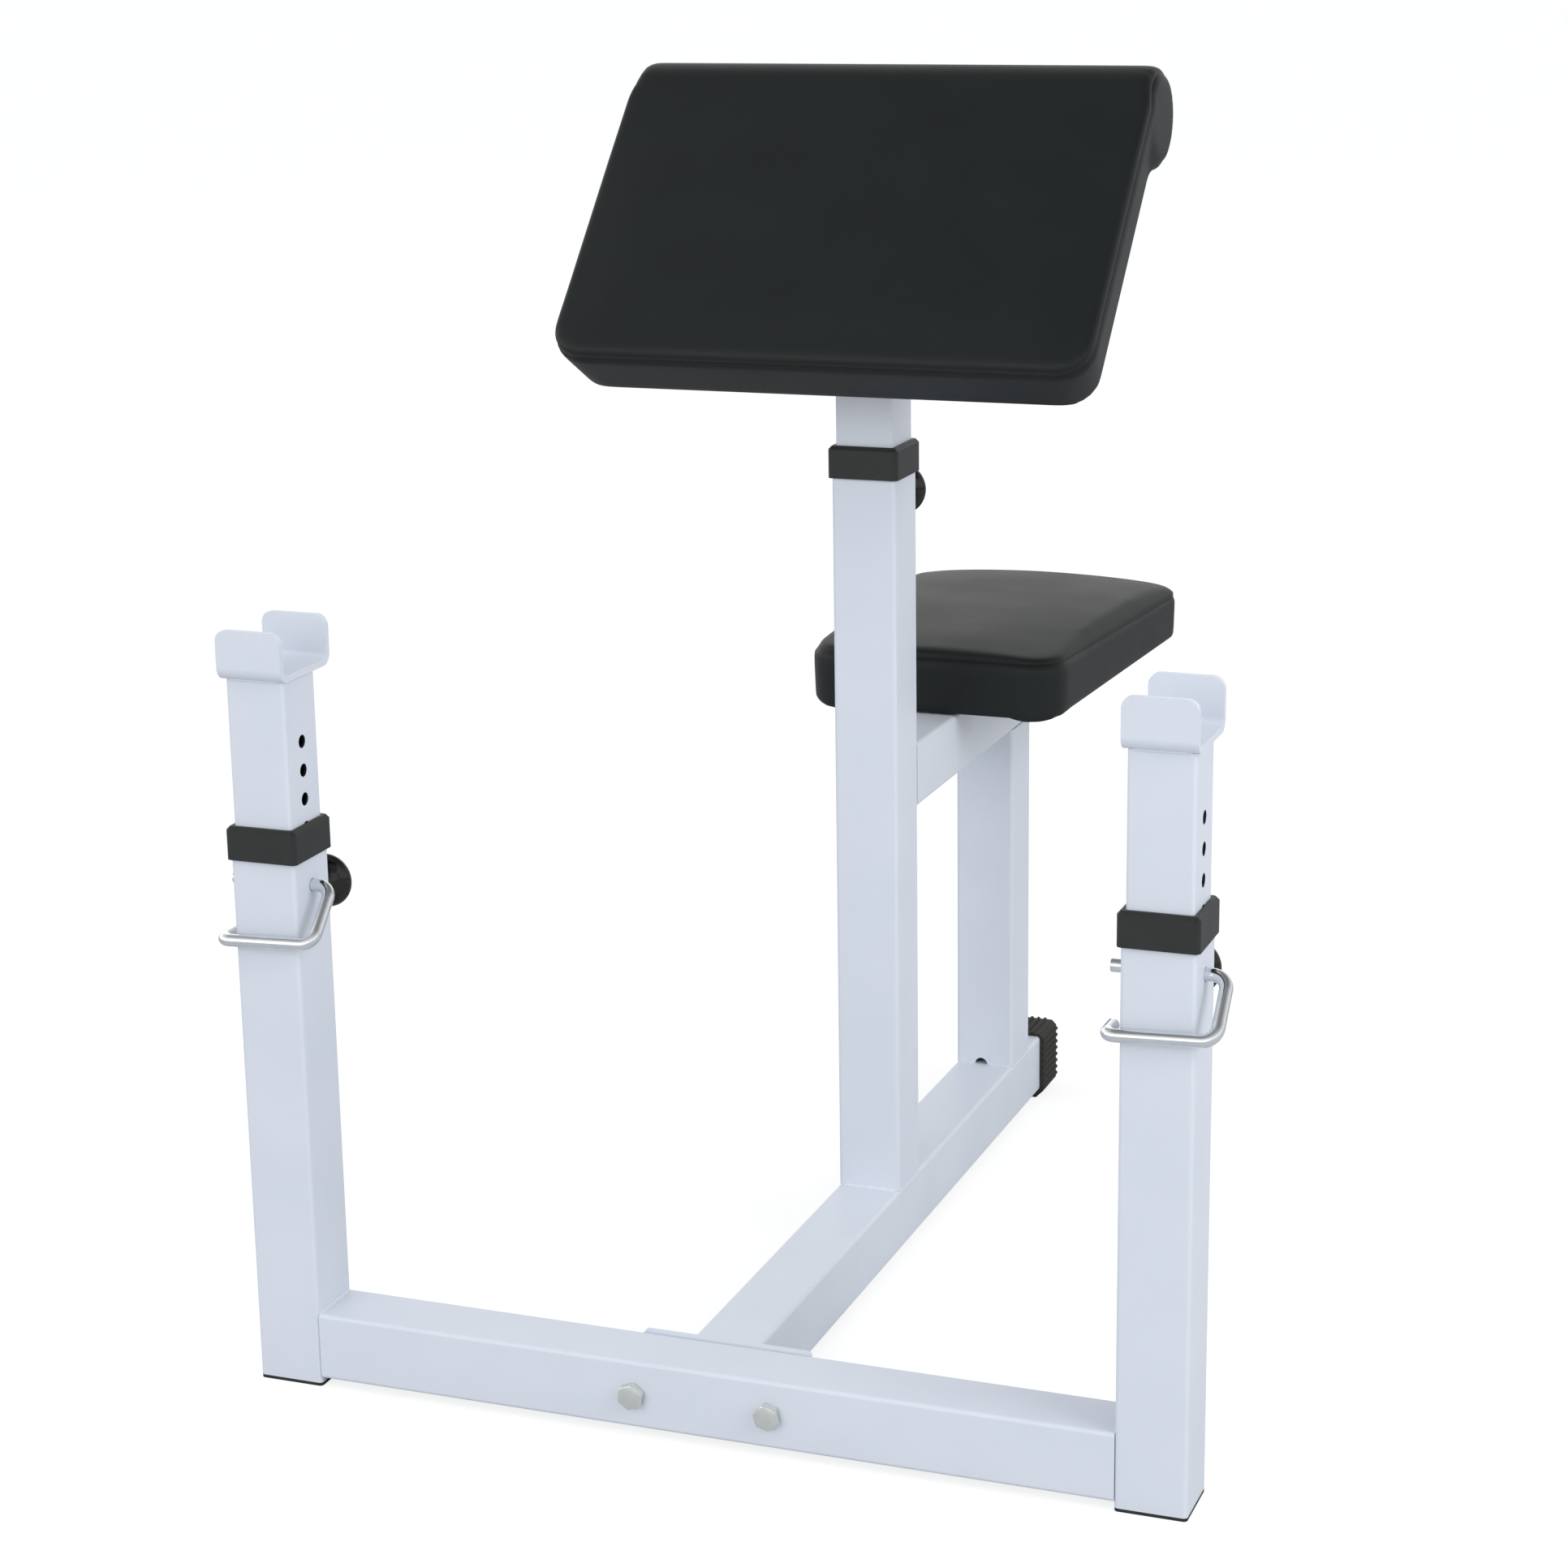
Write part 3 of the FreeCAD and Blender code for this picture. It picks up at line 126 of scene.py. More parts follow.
bpy.ops.object.select_all(action="DESELECT")
bpy.ops.mesh.primitive_cylinder_add(
    vertices=bead_sides, radius=bead_radius, depth=bead_length, rotation=(0, math.pi / 2, 0))
weld_run = bpy.context.object
bpy.ops.object.transform_apply(location=True, rotation=True, scale=True)
bpy.ops.object.mode_set(mode="EDIT")
bpy.ops.mesh.select_mode(type="EDGE")
bpy.ops.mesh.select_all(action="DESELECT")
bpy.ops.object.mode_set(mode="OBJECT")
for edge in weld_run.data.edges:
    start, end = [weld_run.data.vertices[index].co.x for index in edge.vertices]
    edge.select = abs(start - end) > bead_length / 2
bpy.ops.object.mode_set(mode="EDIT")
bpy.ops.mesh.subdivide(number_cuts=bead_rings)
bpy.ops.object.mode_set(mode="OBJECT")
for vertex in weld_run.data.vertices:
    from_tip = 0.5 - abs(vertex.co.x / bead_length)
    taper = min(1.0, tip_width + from_tip * tip_growth)
    ripple = 1 + ripple_height * math.sin(vertex.co.x / ripple_pitch * 2 * math.pi)
    vertex.co.y *= taper * ripple
    vertex.co.z *= taper * ripple
bpy.ops.object.shade_smooth()


def lay_welds(name, body, runs, fineness=1.0):
    """Copies of the weld run from point to point, as fine as asked, joined in one piece of a body."""
    bpy.ops.object.select_all(action="DESELECT")
    laid = []
    for start, end in runs:
        start, end = Vector(start), Vector(end)
        run = bpy.data.objects.new(name, weld_run.data.copy())
        stretch = Matrix.Diagonal(((end - start).length / bead_length, fineness, fineness, 1))
        turn = (end - start).to_track_quat("X", "Z").to_matrix().to_4x4()
        run.data.transform(Matrix.Translation((start + end) / 2) @ turn @ stretch)
        bpy.context.scene.collection.objects.link(run)
        run.select_set(True)
        laid.append(run)
    bpy.context.view_layer.objects.active = laid[0]
    bpy.ops.object.join()
    bead = bpy.context.object
    bead.name = name
    bead.data.materials.append(powder_coat)
    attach(bead, body)


half_run = spine_high.x - run_short
drain_left, drain_right = -0.010, 0.004
runs = []
for side in (-1, 1):
    end_x, corner_x = side * cross_high.x, side * spine_high.x
    for level in (cross_high.z, cross_low.z):
        runs.append(((end_x, cross_low.y + run_short, level), (end_x, cross_high.y - run_short, level)))
    runs.append(((corner_x, flange_back, spine_low.z + run_short),
                 (corner_x, flange_back, spine_high.z - run_short)))
runs_across = [
    (-half_run, half_run, pad_upright_low.y, spine_high.z),
    (-half_run, half_run, pad_upright_high.y, spine_high.z),
    (-half_run, half_run, seat_post_high.y, spine_high.z),
    (-half_run, drain_left, seat_post_low.y, spine_high.z),
    (drain_right, half_run, seat_post_low.y, spine_high.z),
    (-half_run, half_run, pad_upright_high.y, seat_bar_low.z),
    (-half_run, half_run, pad_upright_high.y, seat_bar_high.z),
    (-half_run, half_run, seat_post_low.y, seat_bar_low.z),
]
for left, right, y, z in runs_across:
    runs.append(((left, y, z), (right, y, z)))
lay_welds("frame_welds", "frame", runs)

# Collars and tube plugs. Injection-moulded black polypropylene, pushed over or into the tube
# ends. The mould's spark-eroded grain breaks up its shine, and is drawn coarser than it is so that
# it shows.
black_plastic, tree, shader, place = start_finish("grained_black_polypropylene")
haze = add_node(tree, "ShaderNodeTexNoise", {"Vector": place, "Scale": per_metre(18), "Detail": 4.0})
mottle(tree, shader, haze.outputs["Fac"], ("#1d1f1f", "#2a2c2b"), (0.42, 0.58))
grain = add_node(tree, "ShaderNodeTexNoise", {"Vector": place, "Scale": per_metre(0.9), "Detail": 2.0})
bump = add_node(tree, "ShaderNodeBump", {
    "Height": grain.outputs["Fac"], "Strength": 0.25, "Distance": 0.0002})
tree.links.new(bump.outputs["Normal"], shader.inputs["Normal"])
shader.inputs["Specular IOR Level"].default_value = 0.4
dress(black_plastic, "left_collar", "right_collar", "pad_collar",
      "left_foot_plug", "right_foot_plug", "seat_bar_plug")

# Spine end cap. Compression-moulded black rubber, pulled over the tube's end, with ribs along
# its top and sides. It is dull and a little dusty between the ribs.
rubber, tree, shader, place = start_finish("moulded_black_rubber")
dust = add_node(tree, "ShaderNodeTexNoise", {"Vector": place, "Scale": per_metre(9), "Detail": 5.0})
mottle(tree, shader, dust.outputs["Fac"], ("#1c1d1a", "#302f28"), (0.6, 0.8))
bump = add_node(tree, "ShaderNodeBump", {
    "Height": dust.outputs["Fac"], "Strength": 0.2, "Distance": 0.0003})
tree.links.new(bump.outputs["Normal"], shader.inputs["Normal"])
dress(rubber, "spine_end_cap")

# Flange bolts. Two cold-headed hexagon bolts with chamfered heads, through cross tube and flange
# plate. The zinc plating is bright and slightly milky, with small marks from the plating drum,
# drawn coarse enough to show.
zinc, tree, shader, place = start_finish("bright_zinc_plate")
shader.inputs["Metallic"].default_value = 1.0
bloom = add_node(tree, "ShaderNodeTexNoise", {"Vector": place, "Scale": per_metre(5), "Detail": 3.0})
mottle(tree, shader, bloom.outputs["Fac"], ("#e0e2dc", "#f3f4f0"), (0.18, 0.32))
marks = add_node(tree, "ShaderNodeTexNoise", {"Vector": place, "Scale": per_metre(0.8), "Detail": 2.0})
bump = add_node(tree, "ShaderNodeBump", {
    "Height": marks.outputs["Fac"], "Strength": 0.15, "Distance": 0.0001})
tree.links.new(bump.outputs["Normal"], shader.inputs["Normal"])

bolts_low, bolts_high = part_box("flange_bolts")
head_radius, head_thick = 0.0098, cross_low.y - bolts_low.y
head_corner, head_chamfer, smooth_below = 0.0026, 0.0005, math.radians(25)
shank_radius, shank_sides, shank_length = 0.005, 28, bolts_high.y - cross_low.y
bolt_x, bolt_z = bolts_high.x - head_radius, (cross_low.z + cross_high.z) / 2
left_turn, right_turn = math.radians(9), math.radians(-14)
along_y = (math.pi / 2, 0, 0)

bpy.ops.object.select_all(action="DESELECT")
bpy.ops.mesh.primitive_cylinder_add(
    vertices=6, radius=head_radius, depth=head_thick, location=(0, -head_thick / 2, 0), rotation=along_y)
bolt = bpy.context.object
bpy.ops.object.transform_apply(location=True, rotation=True, scale=True)
for vertex in bolt.data.vertices:
    vertex.select = vertex.co.y < -head_thick / 2
for edge in bolt.data.edges:
    edge.select = False
for face in bolt.data.polygons:
    face.select = False
bpy.ops.object.mode_set(mode="EDIT")
bpy.ops.mesh.select_mode(type="VERT")
bpy.ops.mesh.bevel(offset=head_corner, segments=3, affect="VERTICES", profile=0.5)
bpy.ops.mesh.select_all(action="DESELECT")
bpy.ops.mesh.primitive_cylinder_add(
    vertices=shank_sides, radius=shank_radius, depth=shank_length,
    location=(0, shank_length / 2, 0), rotation=along_y)
bpy.ops.object.mode_set(mode="OBJECT")
chamfer = bolt.modifiers.new("chamfer", "BEVEL")
chamfer.width = head_chamfer
chamfer.segments = 2
bpy.ops.object.modifier_apply(modifier=chamfer.name)
bpy.ops.object.shade_smooth_by_angle(angle=smooth_below)
second_bolt = bolt.copy()
second_bolt.data = bolt.data.copy()
bpy.context.scene.collection.objects.link(second_bolt)
for screwed, x, turn in ((bolt, -bolt_x, left_turn), (second_bolt, bolt_x, right_turn)):
    spot = Matrix.Translation((x, cross_low.y, bolt_z))
    screwed.data.transform(spot @ Matrix.Rotation(turn, 4, "Y"))
    screwed.select_set(True)
bpy.ops.object.join()
bolt.name = "hexagon_bolts"
bolt.data.materials.append(zinc)
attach(bolt, "frame")
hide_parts("flange_bolts")
dress(zinc, "flange_washers", "flange_nuts")

# Rack tubes and bar cradles. The tubes are drilled in a row before they are coated; the coat
# stops at the holes. Their walls and the bore behind them are painted near black, partly as bare
# steel and partly as painted shade inside the holes. The cradles are bent plate, welded on the
# tubes' tops.
rack_low, rack_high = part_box("right_rack_tube")
rack_x, rack_y = (rack_low.x + rack_high.x) / 2, (rack_low.y + rack_high.y) / 2
rack_half, rack_top = (rack_high.x - rack_low.x) / 2, rack_high.z
bore_half, hole_wall_half, hole_half = 0.0207, 0.0223, 0.0075

rack_coat = powder_coat.copy()
rack_coat.name = "white_powder_coat_bare_bore_painted_shade"
tree = rack_coat.node_tree
shader = tree.nodes["Principled BSDF"]
coat = shader.inputs["Base Color"].links[0].from_socket
place = add_node(tree, "ShaderNodeTexCoord").outputs["Object"]
axes = add_node(tree, "ShaderNodeSeparateXYZ", {"Vector": place})
aside = add_node(tree, "ShaderNodeMath", {0: axes.outputs["X"]}, operation="ABSOLUTE")
off_x = add_node(tree, "ShaderNodeMath", {0: aside.outputs["Value"], 1: rack_x}, operation="SUBTRACT")
off_y = add_node(tree, "ShaderNodeMath", {0: axes.outputs["Y"], 1: rack_y}, operation="SUBTRACT")
far_x = add_node(tree, "ShaderNodeMath", {0: off_x.outputs["Value"]}, operation="ABSOLUTE")
far_y = add_node(tree, "ShaderNodeMath", {0: off_y.outputs["Value"]}, operation="ABSOLUTE")
far = add_node(tree, "ShaderNodeMath", {
    0: far_x.outputs["Value"], 1: far_y.outputs["Value"]}, operation="MAXIMUM")
bore = add_node(tree, "ShaderNodeMath", {
    0: far.outputs["Value"], 1: bore_half}, operation="LESS_THAN")
in_wall = add_node(tree, "ShaderNodeMath", {
    0: far_x.outputs["Value"], 1: hole_wall_half}, operation="LESS_THAN")
by_hole = add_node(tree, "ShaderNodeMath", {
    0: far_y.outputs["Value"], 1: hole_half}, operation="LESS_THAN")
hole = add_node(tree, "ShaderNodeMath", {
    0: in_wall.outputs["Value"], 1: by_hole.outputs["Value"]}, operation="MULTIPLY")
bare_and_shaded_bore = add_node(tree, "ShaderNodeMath", {
    0: bore.outputs["Value"], 1: hole.outputs["Value"]}, operation="MAXIMUM")
# Painted shade: inside the bore and on the hole walls the coat's colour gives way to near black,
# standing for bare steel and for the shade in the holes.
bare_steel_and_painted_shade = add_node(tree, "ShaderNodeMix", {
    "Factor": bare_and_shaded_bore.outputs["Value"], "A": coat, "B": linear("#26272a")}, data_type="RGBA")
tree.links.new(bare_steel_and_painted_shade.outputs["Result"], shader.inputs["Base Color"])
dress(rack_coat, "left_rack_tube", "right_rack_tube")
dress(powder_coat, "left_bar_cradle", "right_bar_cradle")

cradle_bead = 0.7
for side, hand in ((-1, "left"), (1, "right")):
    x, run = side * rack_x, rack_half - run_short
    runs = []
    for way in (-1, 1):
        side_x, side_y = x + way * rack_half, rack_y + way * rack_half
        runs.append(((side_x, rack_y - run, rack_top), (side_x, rack_y + run, rack_top)))
        runs.append(((x - run, side_y, rack_top), (x + run, side_y, rack_top)))
    lay_welds(f"{hand}_cradle_welds", f"{hand}_rack", runs, fineness=cradle_bead)

# Lock pins. One steel rod each, cut, bent cold and chrome plated: a mirror with faint rubbing
# marks where it slides in its holes.
chrome, tree, shader, place = start_finish("chrome_plated_rod")
shader.inputs["Metallic"].default_value = 1.0
rubs = add_node(tree, "ShaderNodeTexNoise", {"Vector": place, "Scale": per_metre(6), "Detail": 6.0})
mottle(tree, shader, rubs.outputs["Fac"], ("#d6dade", "#eceef0"), (0.04, 0.12))
dress(chrome, "left_lock_pin", "right_lock_pin")

# Clamp screws. A nut is welded on each upright's rear face under the coat, and a plated stud
# with a rolled 1.5 mm thread runs in it, drawn as a ripple along the stud.
dress(powder_coat, "left_clamp_nut", "right_clamp_nut")
thread_pitch = 1.5
thread = zinc.copy()
thread.name = "zinc_plated_thread"
tree = thread.node_tree
shader = tree.nodes["Principled BSDF"]
place = add_node(tree, "ShaderNodeTexCoord").outputs["Object"]
turns = add_node(tree, "ShaderNodeTexWave", {
    "Vector": place, "Scale": per_metre(thread_pitch) * math.pi / 10},
    bands_direction="Y", wave_profile="TRI")
bump = add_node(tree, "ShaderNodeBump", {
    "Height": turns.outputs["Fac"], "Strength": 0.9, "Distance": 0.0009})
tree.links.new(bump.outputs["Normal"], shader.inputs["Normal"])
dress(thread, "left_clamp_stud", "right_clamp_stud")

# Knobs of the clamp screws and the pull pin. Compression-moulded black phenolic, turned clean at
# the parting line and glossy as it leaves the mould, with a warm brown cast under the shine.
phenolic, tree, shader, place = start_finish("black_phenolic_resin")
smear = add_node(tree, "ShaderNodeTexNoise", {"Vector": place, "Scale": per_metre(7), "Detail": 5.0})
mottle(tree, shader, smear.outputs["Fac"], ("#0d0b0a", "#1a1411"), (0.09, 0.20))
shader.inputs["IOR"].default_value = 1.6
shader.inputs["Specular IOR Level"].default_value = 0.35

knob_sides = 36
knob_profile = [
    (0.0082, 0.0000), (0.0090, 0.0006), (0.0088, 0.0060), (0.0096, 0.0090), (0.0128, 0.0114),
    (0.0168, 0.0132), (0.0190, 0.0150), (0.0199, 0.0170), (0.0200, 0.0184), (0.0196, 0.0202),
    (0.0182, 0.0226), (0.0156, 0.0246), (0.0118, 0.0260), (0.0070, 0.0267), (0.0024, 0.0269),
]
bpy.ops.object.select_all(action="DESELECT")
bpy.ops.mesh.primitive_circle_add(vertices=knob_sides, radius=knob_profile[0][0], fill_type="NGON")
knob = bpy.context.object
bpy.ops.object.mode_set(mode="EDIT")
for (radius, height), (wider, higher) in zip(knob_profile, knob_profile[1:]):
    bpy.ops.mesh.extrude_region_move(TRANSFORM_OT_translate={"value": (0, 0, higher - height)})
    bpy.ops.transform.resize(value=(wider / radius, wider / radius, 1))
bpy.ops.mesh.select_all(action="SELECT")
bpy.ops.mesh.normals_make_consistent(inside=False)
bpy.ops.object.mode_set(mode="OBJECT")
rounding = knob.modifiers.new("rounding", "SUBSURF")
rounding.levels = rounding.render_levels = 1
bpy.ops.object.modifier_apply(modifier=rounding.name)
bpy.ops.object.shade_smooth()
knob.data.materials.append(phenolic)

for node, body in (("left_clamp_knob", "left_clamp"), ("right_clamp_knob", "right_clamp"),
                   ("pull_knob", "pull_pin")):
    knob_low, knob_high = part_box(node)
    knob_middle = (knob_low + knob_high) / 2
    seat = Matrix.Translation((knob_middle.x, knob_low.y, knob_middle.z))
    moulded = bpy.data.objects.new(node + "_moulded", knob.data.copy())
    moulded.data.transform(seat @ Matrix.Rotation(-math.pi / 2, 4, "X"))
    bpy.context.scene.collection.objects.link(moulded)
    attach(moulded, body)
    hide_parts(node)
bpy.data.objects.remove(knob)

# Arm pad post and mounting plate. The post slides in its upright and is coated like the frame;
# its mitred top is welded to the plate that carries the pad's board.
dress(powder_coat, "pad_inner_post", "pad_mount_plate")
pad_slope = math.radians(46.6)
seam_edge_back, seam_edge_height = 0.2488, 0.7232
pad_depth, mount_thick = 0.055, 0.005
pad_seam_edge = Vector((0, cross_low.y + seam_edge_back, seam_edge_height))
from_slope = Matrix.Translation(pad_seam_edge) @ Matrix.Rotation(pad_slope, 4, "X")
to_slope = from_slope.inverted()
plate_back = -pad_depth - mount_thick
post_low, post_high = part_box("pad_inner_post")
post_y, post_half = (post_low.y + post_high.y) / 2, (post_high.x - post_low.x) / 2
mitre_middle = (post_y - pad_seam_edge.y + plate_back * math.sin(pad_slope)) / math.cos(pad_slope)
mitre_half = post_half / math.cos(pad_slope)
mitre_start, mitre_end = mitre_middle - mitre_half + run_short, mitre_middle + mitre_half - run_short
run = post_half - run_short
runs = []
for way in (-1, 1):
    side_x, edge_y = way * post_half, mitre_middle + way * mitre_half
    runs.append((from_slope @ Vector((side_x, mitre_start, plate_back)),
                 from_slope @ Vector((side_x, mitre_end, plate_back))))
    runs.append((from_slope @ Vector((-run, edge_y, plate_back)),
                 from_slope @ Vector((run, edge_y, plate_back))))
lay_welds("pad_plate_welds", "pad_carriage", runs)
bpy.data.objects.remove(weld_run)

# Pull pin. A plated barrel on the pad upright holds a sprung plunger; the knob draws it out.
# The board screws are plated alike.
dress(zinc, "pull_pin_barrel", "pull_plunger", "pull_pin_spring", "pad_screws", "seat_screws")

# Boards under the cushions. Birch plywood, sawn to shape and left raw under the cover, so its
# faces show long pale grain with darker late wood and stay dull.
plywood, tree, shader, place = start_finish("raw_birch_plywood")
along = add_node(tree, "ShaderNodeMapping", {"Vector": place, "Scale": (0.12, 1.0, 1.0)})
figure = add_node(tree, "ShaderNodeTexNoise", {
    "Vector": along.outputs["Vector"], "Scale": per_metre(6), "Detail": 6.0, "Distortion": 0.6})
tint = add_node(tree, "ShaderNodeMix", {
    "Factor": figure.outputs["Fac"], "A": linear("#a9835a"), "B": linear("#d9b98c")}, data_type="RGBA")
tree.links.new(tint.outputs["Result"], shader.inputs["Base Color"])
shader.inputs["Roughness"].default_value = 0.7
bump = add_node(tree, "ShaderNodeBump", {
    "Height": figure.outputs["Fac"], "Strength": 0.2, "Distance": 0.0004})
tree.links.new(bump.outputs["Normal"], shader.inputs["Normal"])
dress(plywood, "pad_board", "seat_board")

# Arm pad cushion. Dense foam on the board, pulled tight under black upholstery vinyl, whose pebbled
# grain is drawn a little coarse so that it shows. A face panel wraps over the roll, a border is sewn
# to it along the lower edge and the sides, and the seam lies in a narrow valley, darkened along its
# line with painted shade.
vinyl, tree, shader, place = start_finish("black_upholstery_vinyl")
wear = add_node(tree, "ShaderNodeTexNoise", {"Vector": place, "Scale": per_metre(60), "Detail": 4.0})
tint = mottle(tree, shader, wear.outputs["Fac"], ("#101518", "#161c1f"), (0.44, 0.56))
off_seam = add_node(tree, "ShaderNodeAttribute", attribute_name="off_seam").outputs["Fac"]
near_seam = add_node(tree, "ShaderNodeMath", {0: off_seam}, operation="ABSOLUTE")
# The seam's mask sinks the valley in the bump and also lays painted shade along the seam.
seam_valley_and_shade = add_node(tree, "ShaderNodeMapRange", {
    "Value": near_seam.outputs["Value"], "From Min": 0.0003, "From Max": 0.0018,
    "To Min": 1.0, "To Max": 0.0}, interpolation_type="SMOOTHSTEP")
# Painted shade: the vinyl darkens to near black along the seam line, standing in for the shade in the
# seam's valley.
seam_painted_shade = add_node(tree, "ShaderNodeMix", {
    "Factor": seam_valley_and_shade.outputs["Result"], "A": tint, "B": linear("#0b0d0e")}, data_type="RGBA")
tree.links.new(seam_painted_shade.outputs["Result"], shader.inputs["Base Color"])
pebble = add_node(tree, "ShaderNodeTexVoronoi", {
    "Vector": place, "Scale": per_metre(1.6)}, feature="DISTANCE_TO_EDGE")
grain = add_node(tree, "ShaderNodeBump", {
    "Height": pebble.outputs["Distance"], "Strength": 0.2, "Distance": 0.0003})
valley = add_node(tree, "ShaderNodeBump", {
    "Height": seam_valley_and_shade.outputs["Result"], "Strength": 0.45, "Distance": 0.0012,
    "Normal": grain.outputs["Normal"]}, invert=True)
tree.links.new(valley.outputs["Normal"], shader.inputs["Normal"])
shader.inputs["IOR"].default_value = 1.5
shader.inputs["Specular IOR Level"].default_value = 0.3
shader.inputs["Specular Tint"].default_value = (1.0, 0.96, 0.84, 1.0)

merge_distance, voxel, cover_frames, taut_passes = 0.00002, 0.0045, 20, 40
valley_half, valley_depth = 0.005, 0.0012


def upholster(name, node, body, squared, restored, held, off_seam_at, swell_limit):
    """A cushion from its solid: remeshed square, blown up under its cover, drawn in at its seam."""
    bpy.ops.object.select_all(action="DESELECT")
    cushion = bpy.data.objects.new(name, nodes[node].data.copy())
    bpy.context.scene.collection.objects.link(cushion)
    bpy.context.view_layer.objects.active = cushion
    cushion.select_set(True)
    bpy.ops.object.mode_set(mode="EDIT")
    bpy.ops.mesh.select_all(action="SELECT")
    bpy.ops.mesh.remove_doubles(threshold=merge_distance)
    bpy.ops.object.mode_set(mode="OBJECT")
    for vertex in cushion.data.vertices:
        vertex.co = squared(vertex.co)
    cushion.data.remesh_voxel_size = voxel
    bpy.ops.object.voxel_remesh()
    for vertex in cushion.data.vertices:
        vertex.co = restored(vertex.co)
    snug = cushion.modifiers.new("snug", "SHRINKWRAP")
    snug.target = nodes[node]
    bpy.ops.object.modifier_apply(modifier=snug.name)
    bpy.ops.object.mode_set(mode="EDIT")
    bpy.ops.mesh.select_all(action="SELECT")
    bpy.ops.mesh.vertices_smooth(factor=0.5, repeat=3)
    bpy.ops.object.mode_set(mode="OBJECT")
    sewn = cushion.vertex_groups.new(name="sewn")
    for vertex in cushion.data.vertices:
        sewn.add([vertex.index], held(vertex.co), "REPLACE")
    rest = np.empty(3 * len(cushion.data.vertices))
    cushion.data.vertices.foreach_get("co", rest)
    cover = cushion.modifiers.new("cover", "CLOTH")
    cover.settings.use_pressure = True
    cover.settings.uniform_pressure_force = 4.0
    cover.settings.effector_weights.gravity = 0.0
    cover.settings.vertex_group_mass = "sewn"
    cover.settings.pin_stiffness = 8.0
    cover.settings.tension_stiffness = 15.0
    cover.settings.compression_stiffness = 10.0
    cover.settings.bending_stiffness = 60.0
    cover.point_cache.frame_end = cover_frames
    for number in range(1, cover_frames + 1):
        bpy.context.scene.frame_set(number)
    bpy.ops.object.modifier_apply(modifier=cover.name)
    blown = np.empty_like(rest)
    cushion.data.vertices.foreach_get("co", blown)
    travel = (blown - rest).reshape(-1, 3)
    length = np.linalg.norm(travel, axis=1, keepdims=True)
    travel *= np.minimum(1, swell_limit / np.maximum(length, 1e-9))
    ends = np.empty(2 * len(cushion.data.edges), int)
    cushion.data.edges.foreach_get("vertices", ends)
    ends = ends.reshape(-1, 2)
    neighbours = np.bincount(ends.ravel(), minlength=len(travel))[:, None]
    for _ in range(taut_passes):
        around = np.zeros_like(travel)
        np.add.at(around, ends[:, 0], travel[ends[:, 1]])
        np.add.at(around, ends[:, 1], travel[ends[:, 0]])
        travel = (travel + around / neighbours) / 2
    cushion.data.vertices.foreach_set("co", rest + travel.ravel())
    bpy.context.scene.frame_set(1)
    rounding = cushion.modifiers.new("rounding", "SUBSURF")
    rounding.levels = rounding.render_levels = 1
    bpy.ops.object.modifier_apply(modifier=rounding.name)
    distances = [off_seam_at(vertex.co) for vertex in cushion.data.vertices]
    normals = [vertex.normal.copy() for vertex in cushion.data.vertices]
    for vertex, normal, distance in zip(cushion.data.vertices, normals, distances):
        if abs(distance) < valley_half:
            vertex.co -= normal * valley_depth * (1 + math.cos(math.pi * distance / valley_half)) / 2
    mark = cushion.data.attributes.new("off_seam", "FLOAT", "POINT")
    mark.data.foreach_set("value", distances)
    cushion.data.materials.clear()
    cushion.data.materials.append(vinyl)
    bpy.ops.object.shade_smooth()
    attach(cushion, body)
    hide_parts(node)
    return cushion


pad_seam_depth, pad_reach, pad_swell = 0.008, 0.251, 0.0022
roll_middle_depth, roll_seam_radius = 0.037, 0.0335
stapled_height, pad_stapled_reach, past_seam = 0.006, 0.2, 0.003
roll_hold_before, roll_hold_length, pad_border_hold = 0.060, 0.040, 0.9


def pad_squared(point):
    """A point of the arm pad in the pad's own level frame."""
    return to_slope @ point


def pad_restored(point):
    """A point of the pad's own level frame on the slope."""
    return from_slope @ point


def pad_off_seam(point):
    """How far a point of the arm pad lies from the seam, negative on the border's side."""
    local = to_slope @ point
    from_roll = math.hypot(local.y - pad_reach, local.z + roll_middle_depth) - roll_seam_radius
    if local.y > pad_reach or local.z < -pad_depth:
        return from_roll
    return min(local.z + pad_seam_depth, from_roll)


def pad_held(point):
    """How firmly the arm pad's cover is held: fully where it is stapled, firmly along its border."""
    local = to_slope @ point
    if local.z < stapled_height - pad_depth and local.y < pad_stapled_reach:
        return 1.0
    over_roll = min(1.0, max(0.0, (local.y - pad_reach + roll_hold_before) / roll_hold_length))
    return pad_border_hold * (1.0 if pad_off_seam(point) < past_seam else over_roll)


arm_pad = upholster("arm_pad_cushion", "pad_cushion", "pad_carriage",
                    pad_squared, pad_restored, pad_held, pad_off_seam, pad_swell)
foam_right, foam_wider, foam_longer = 0.0012, 1.004, 1.005
about_roll = Matrix.Translation((0, pad_reach, 0))
stretch = Matrix.Diagonal((foam_wider, foam_longer, 1, 1))
arm_pad.data.transform(from_slope @ Matrix.Translation((foam_right, 0, 0))
                       @ about_roll @ stretch @ about_roll.inverted() @ to_slope)

# Turned-in margin of the arm pad's cover. The vinyl is drawn round the board's edge, trimmed by
# hand a finger's width inside it, and fixed with a row of plated wire staples.
margin_out, margin_in, margin_corner, margin_cuts = 0.004, 0.009, 0.014, 7
vinyl_thick, margin_smooth_below = 0.0009, math.radians(40)
trim_wander, trim_waves_across, trim_waves_along = 0.0007, 210, 170
staple_length, staple_wire, staple_pitch = 0.010, 0.0010, 0.034
staple_in, staple_out, staple_skew, skew_change = 0.005, 1.8 * vinyl_thick, 0.12, 7


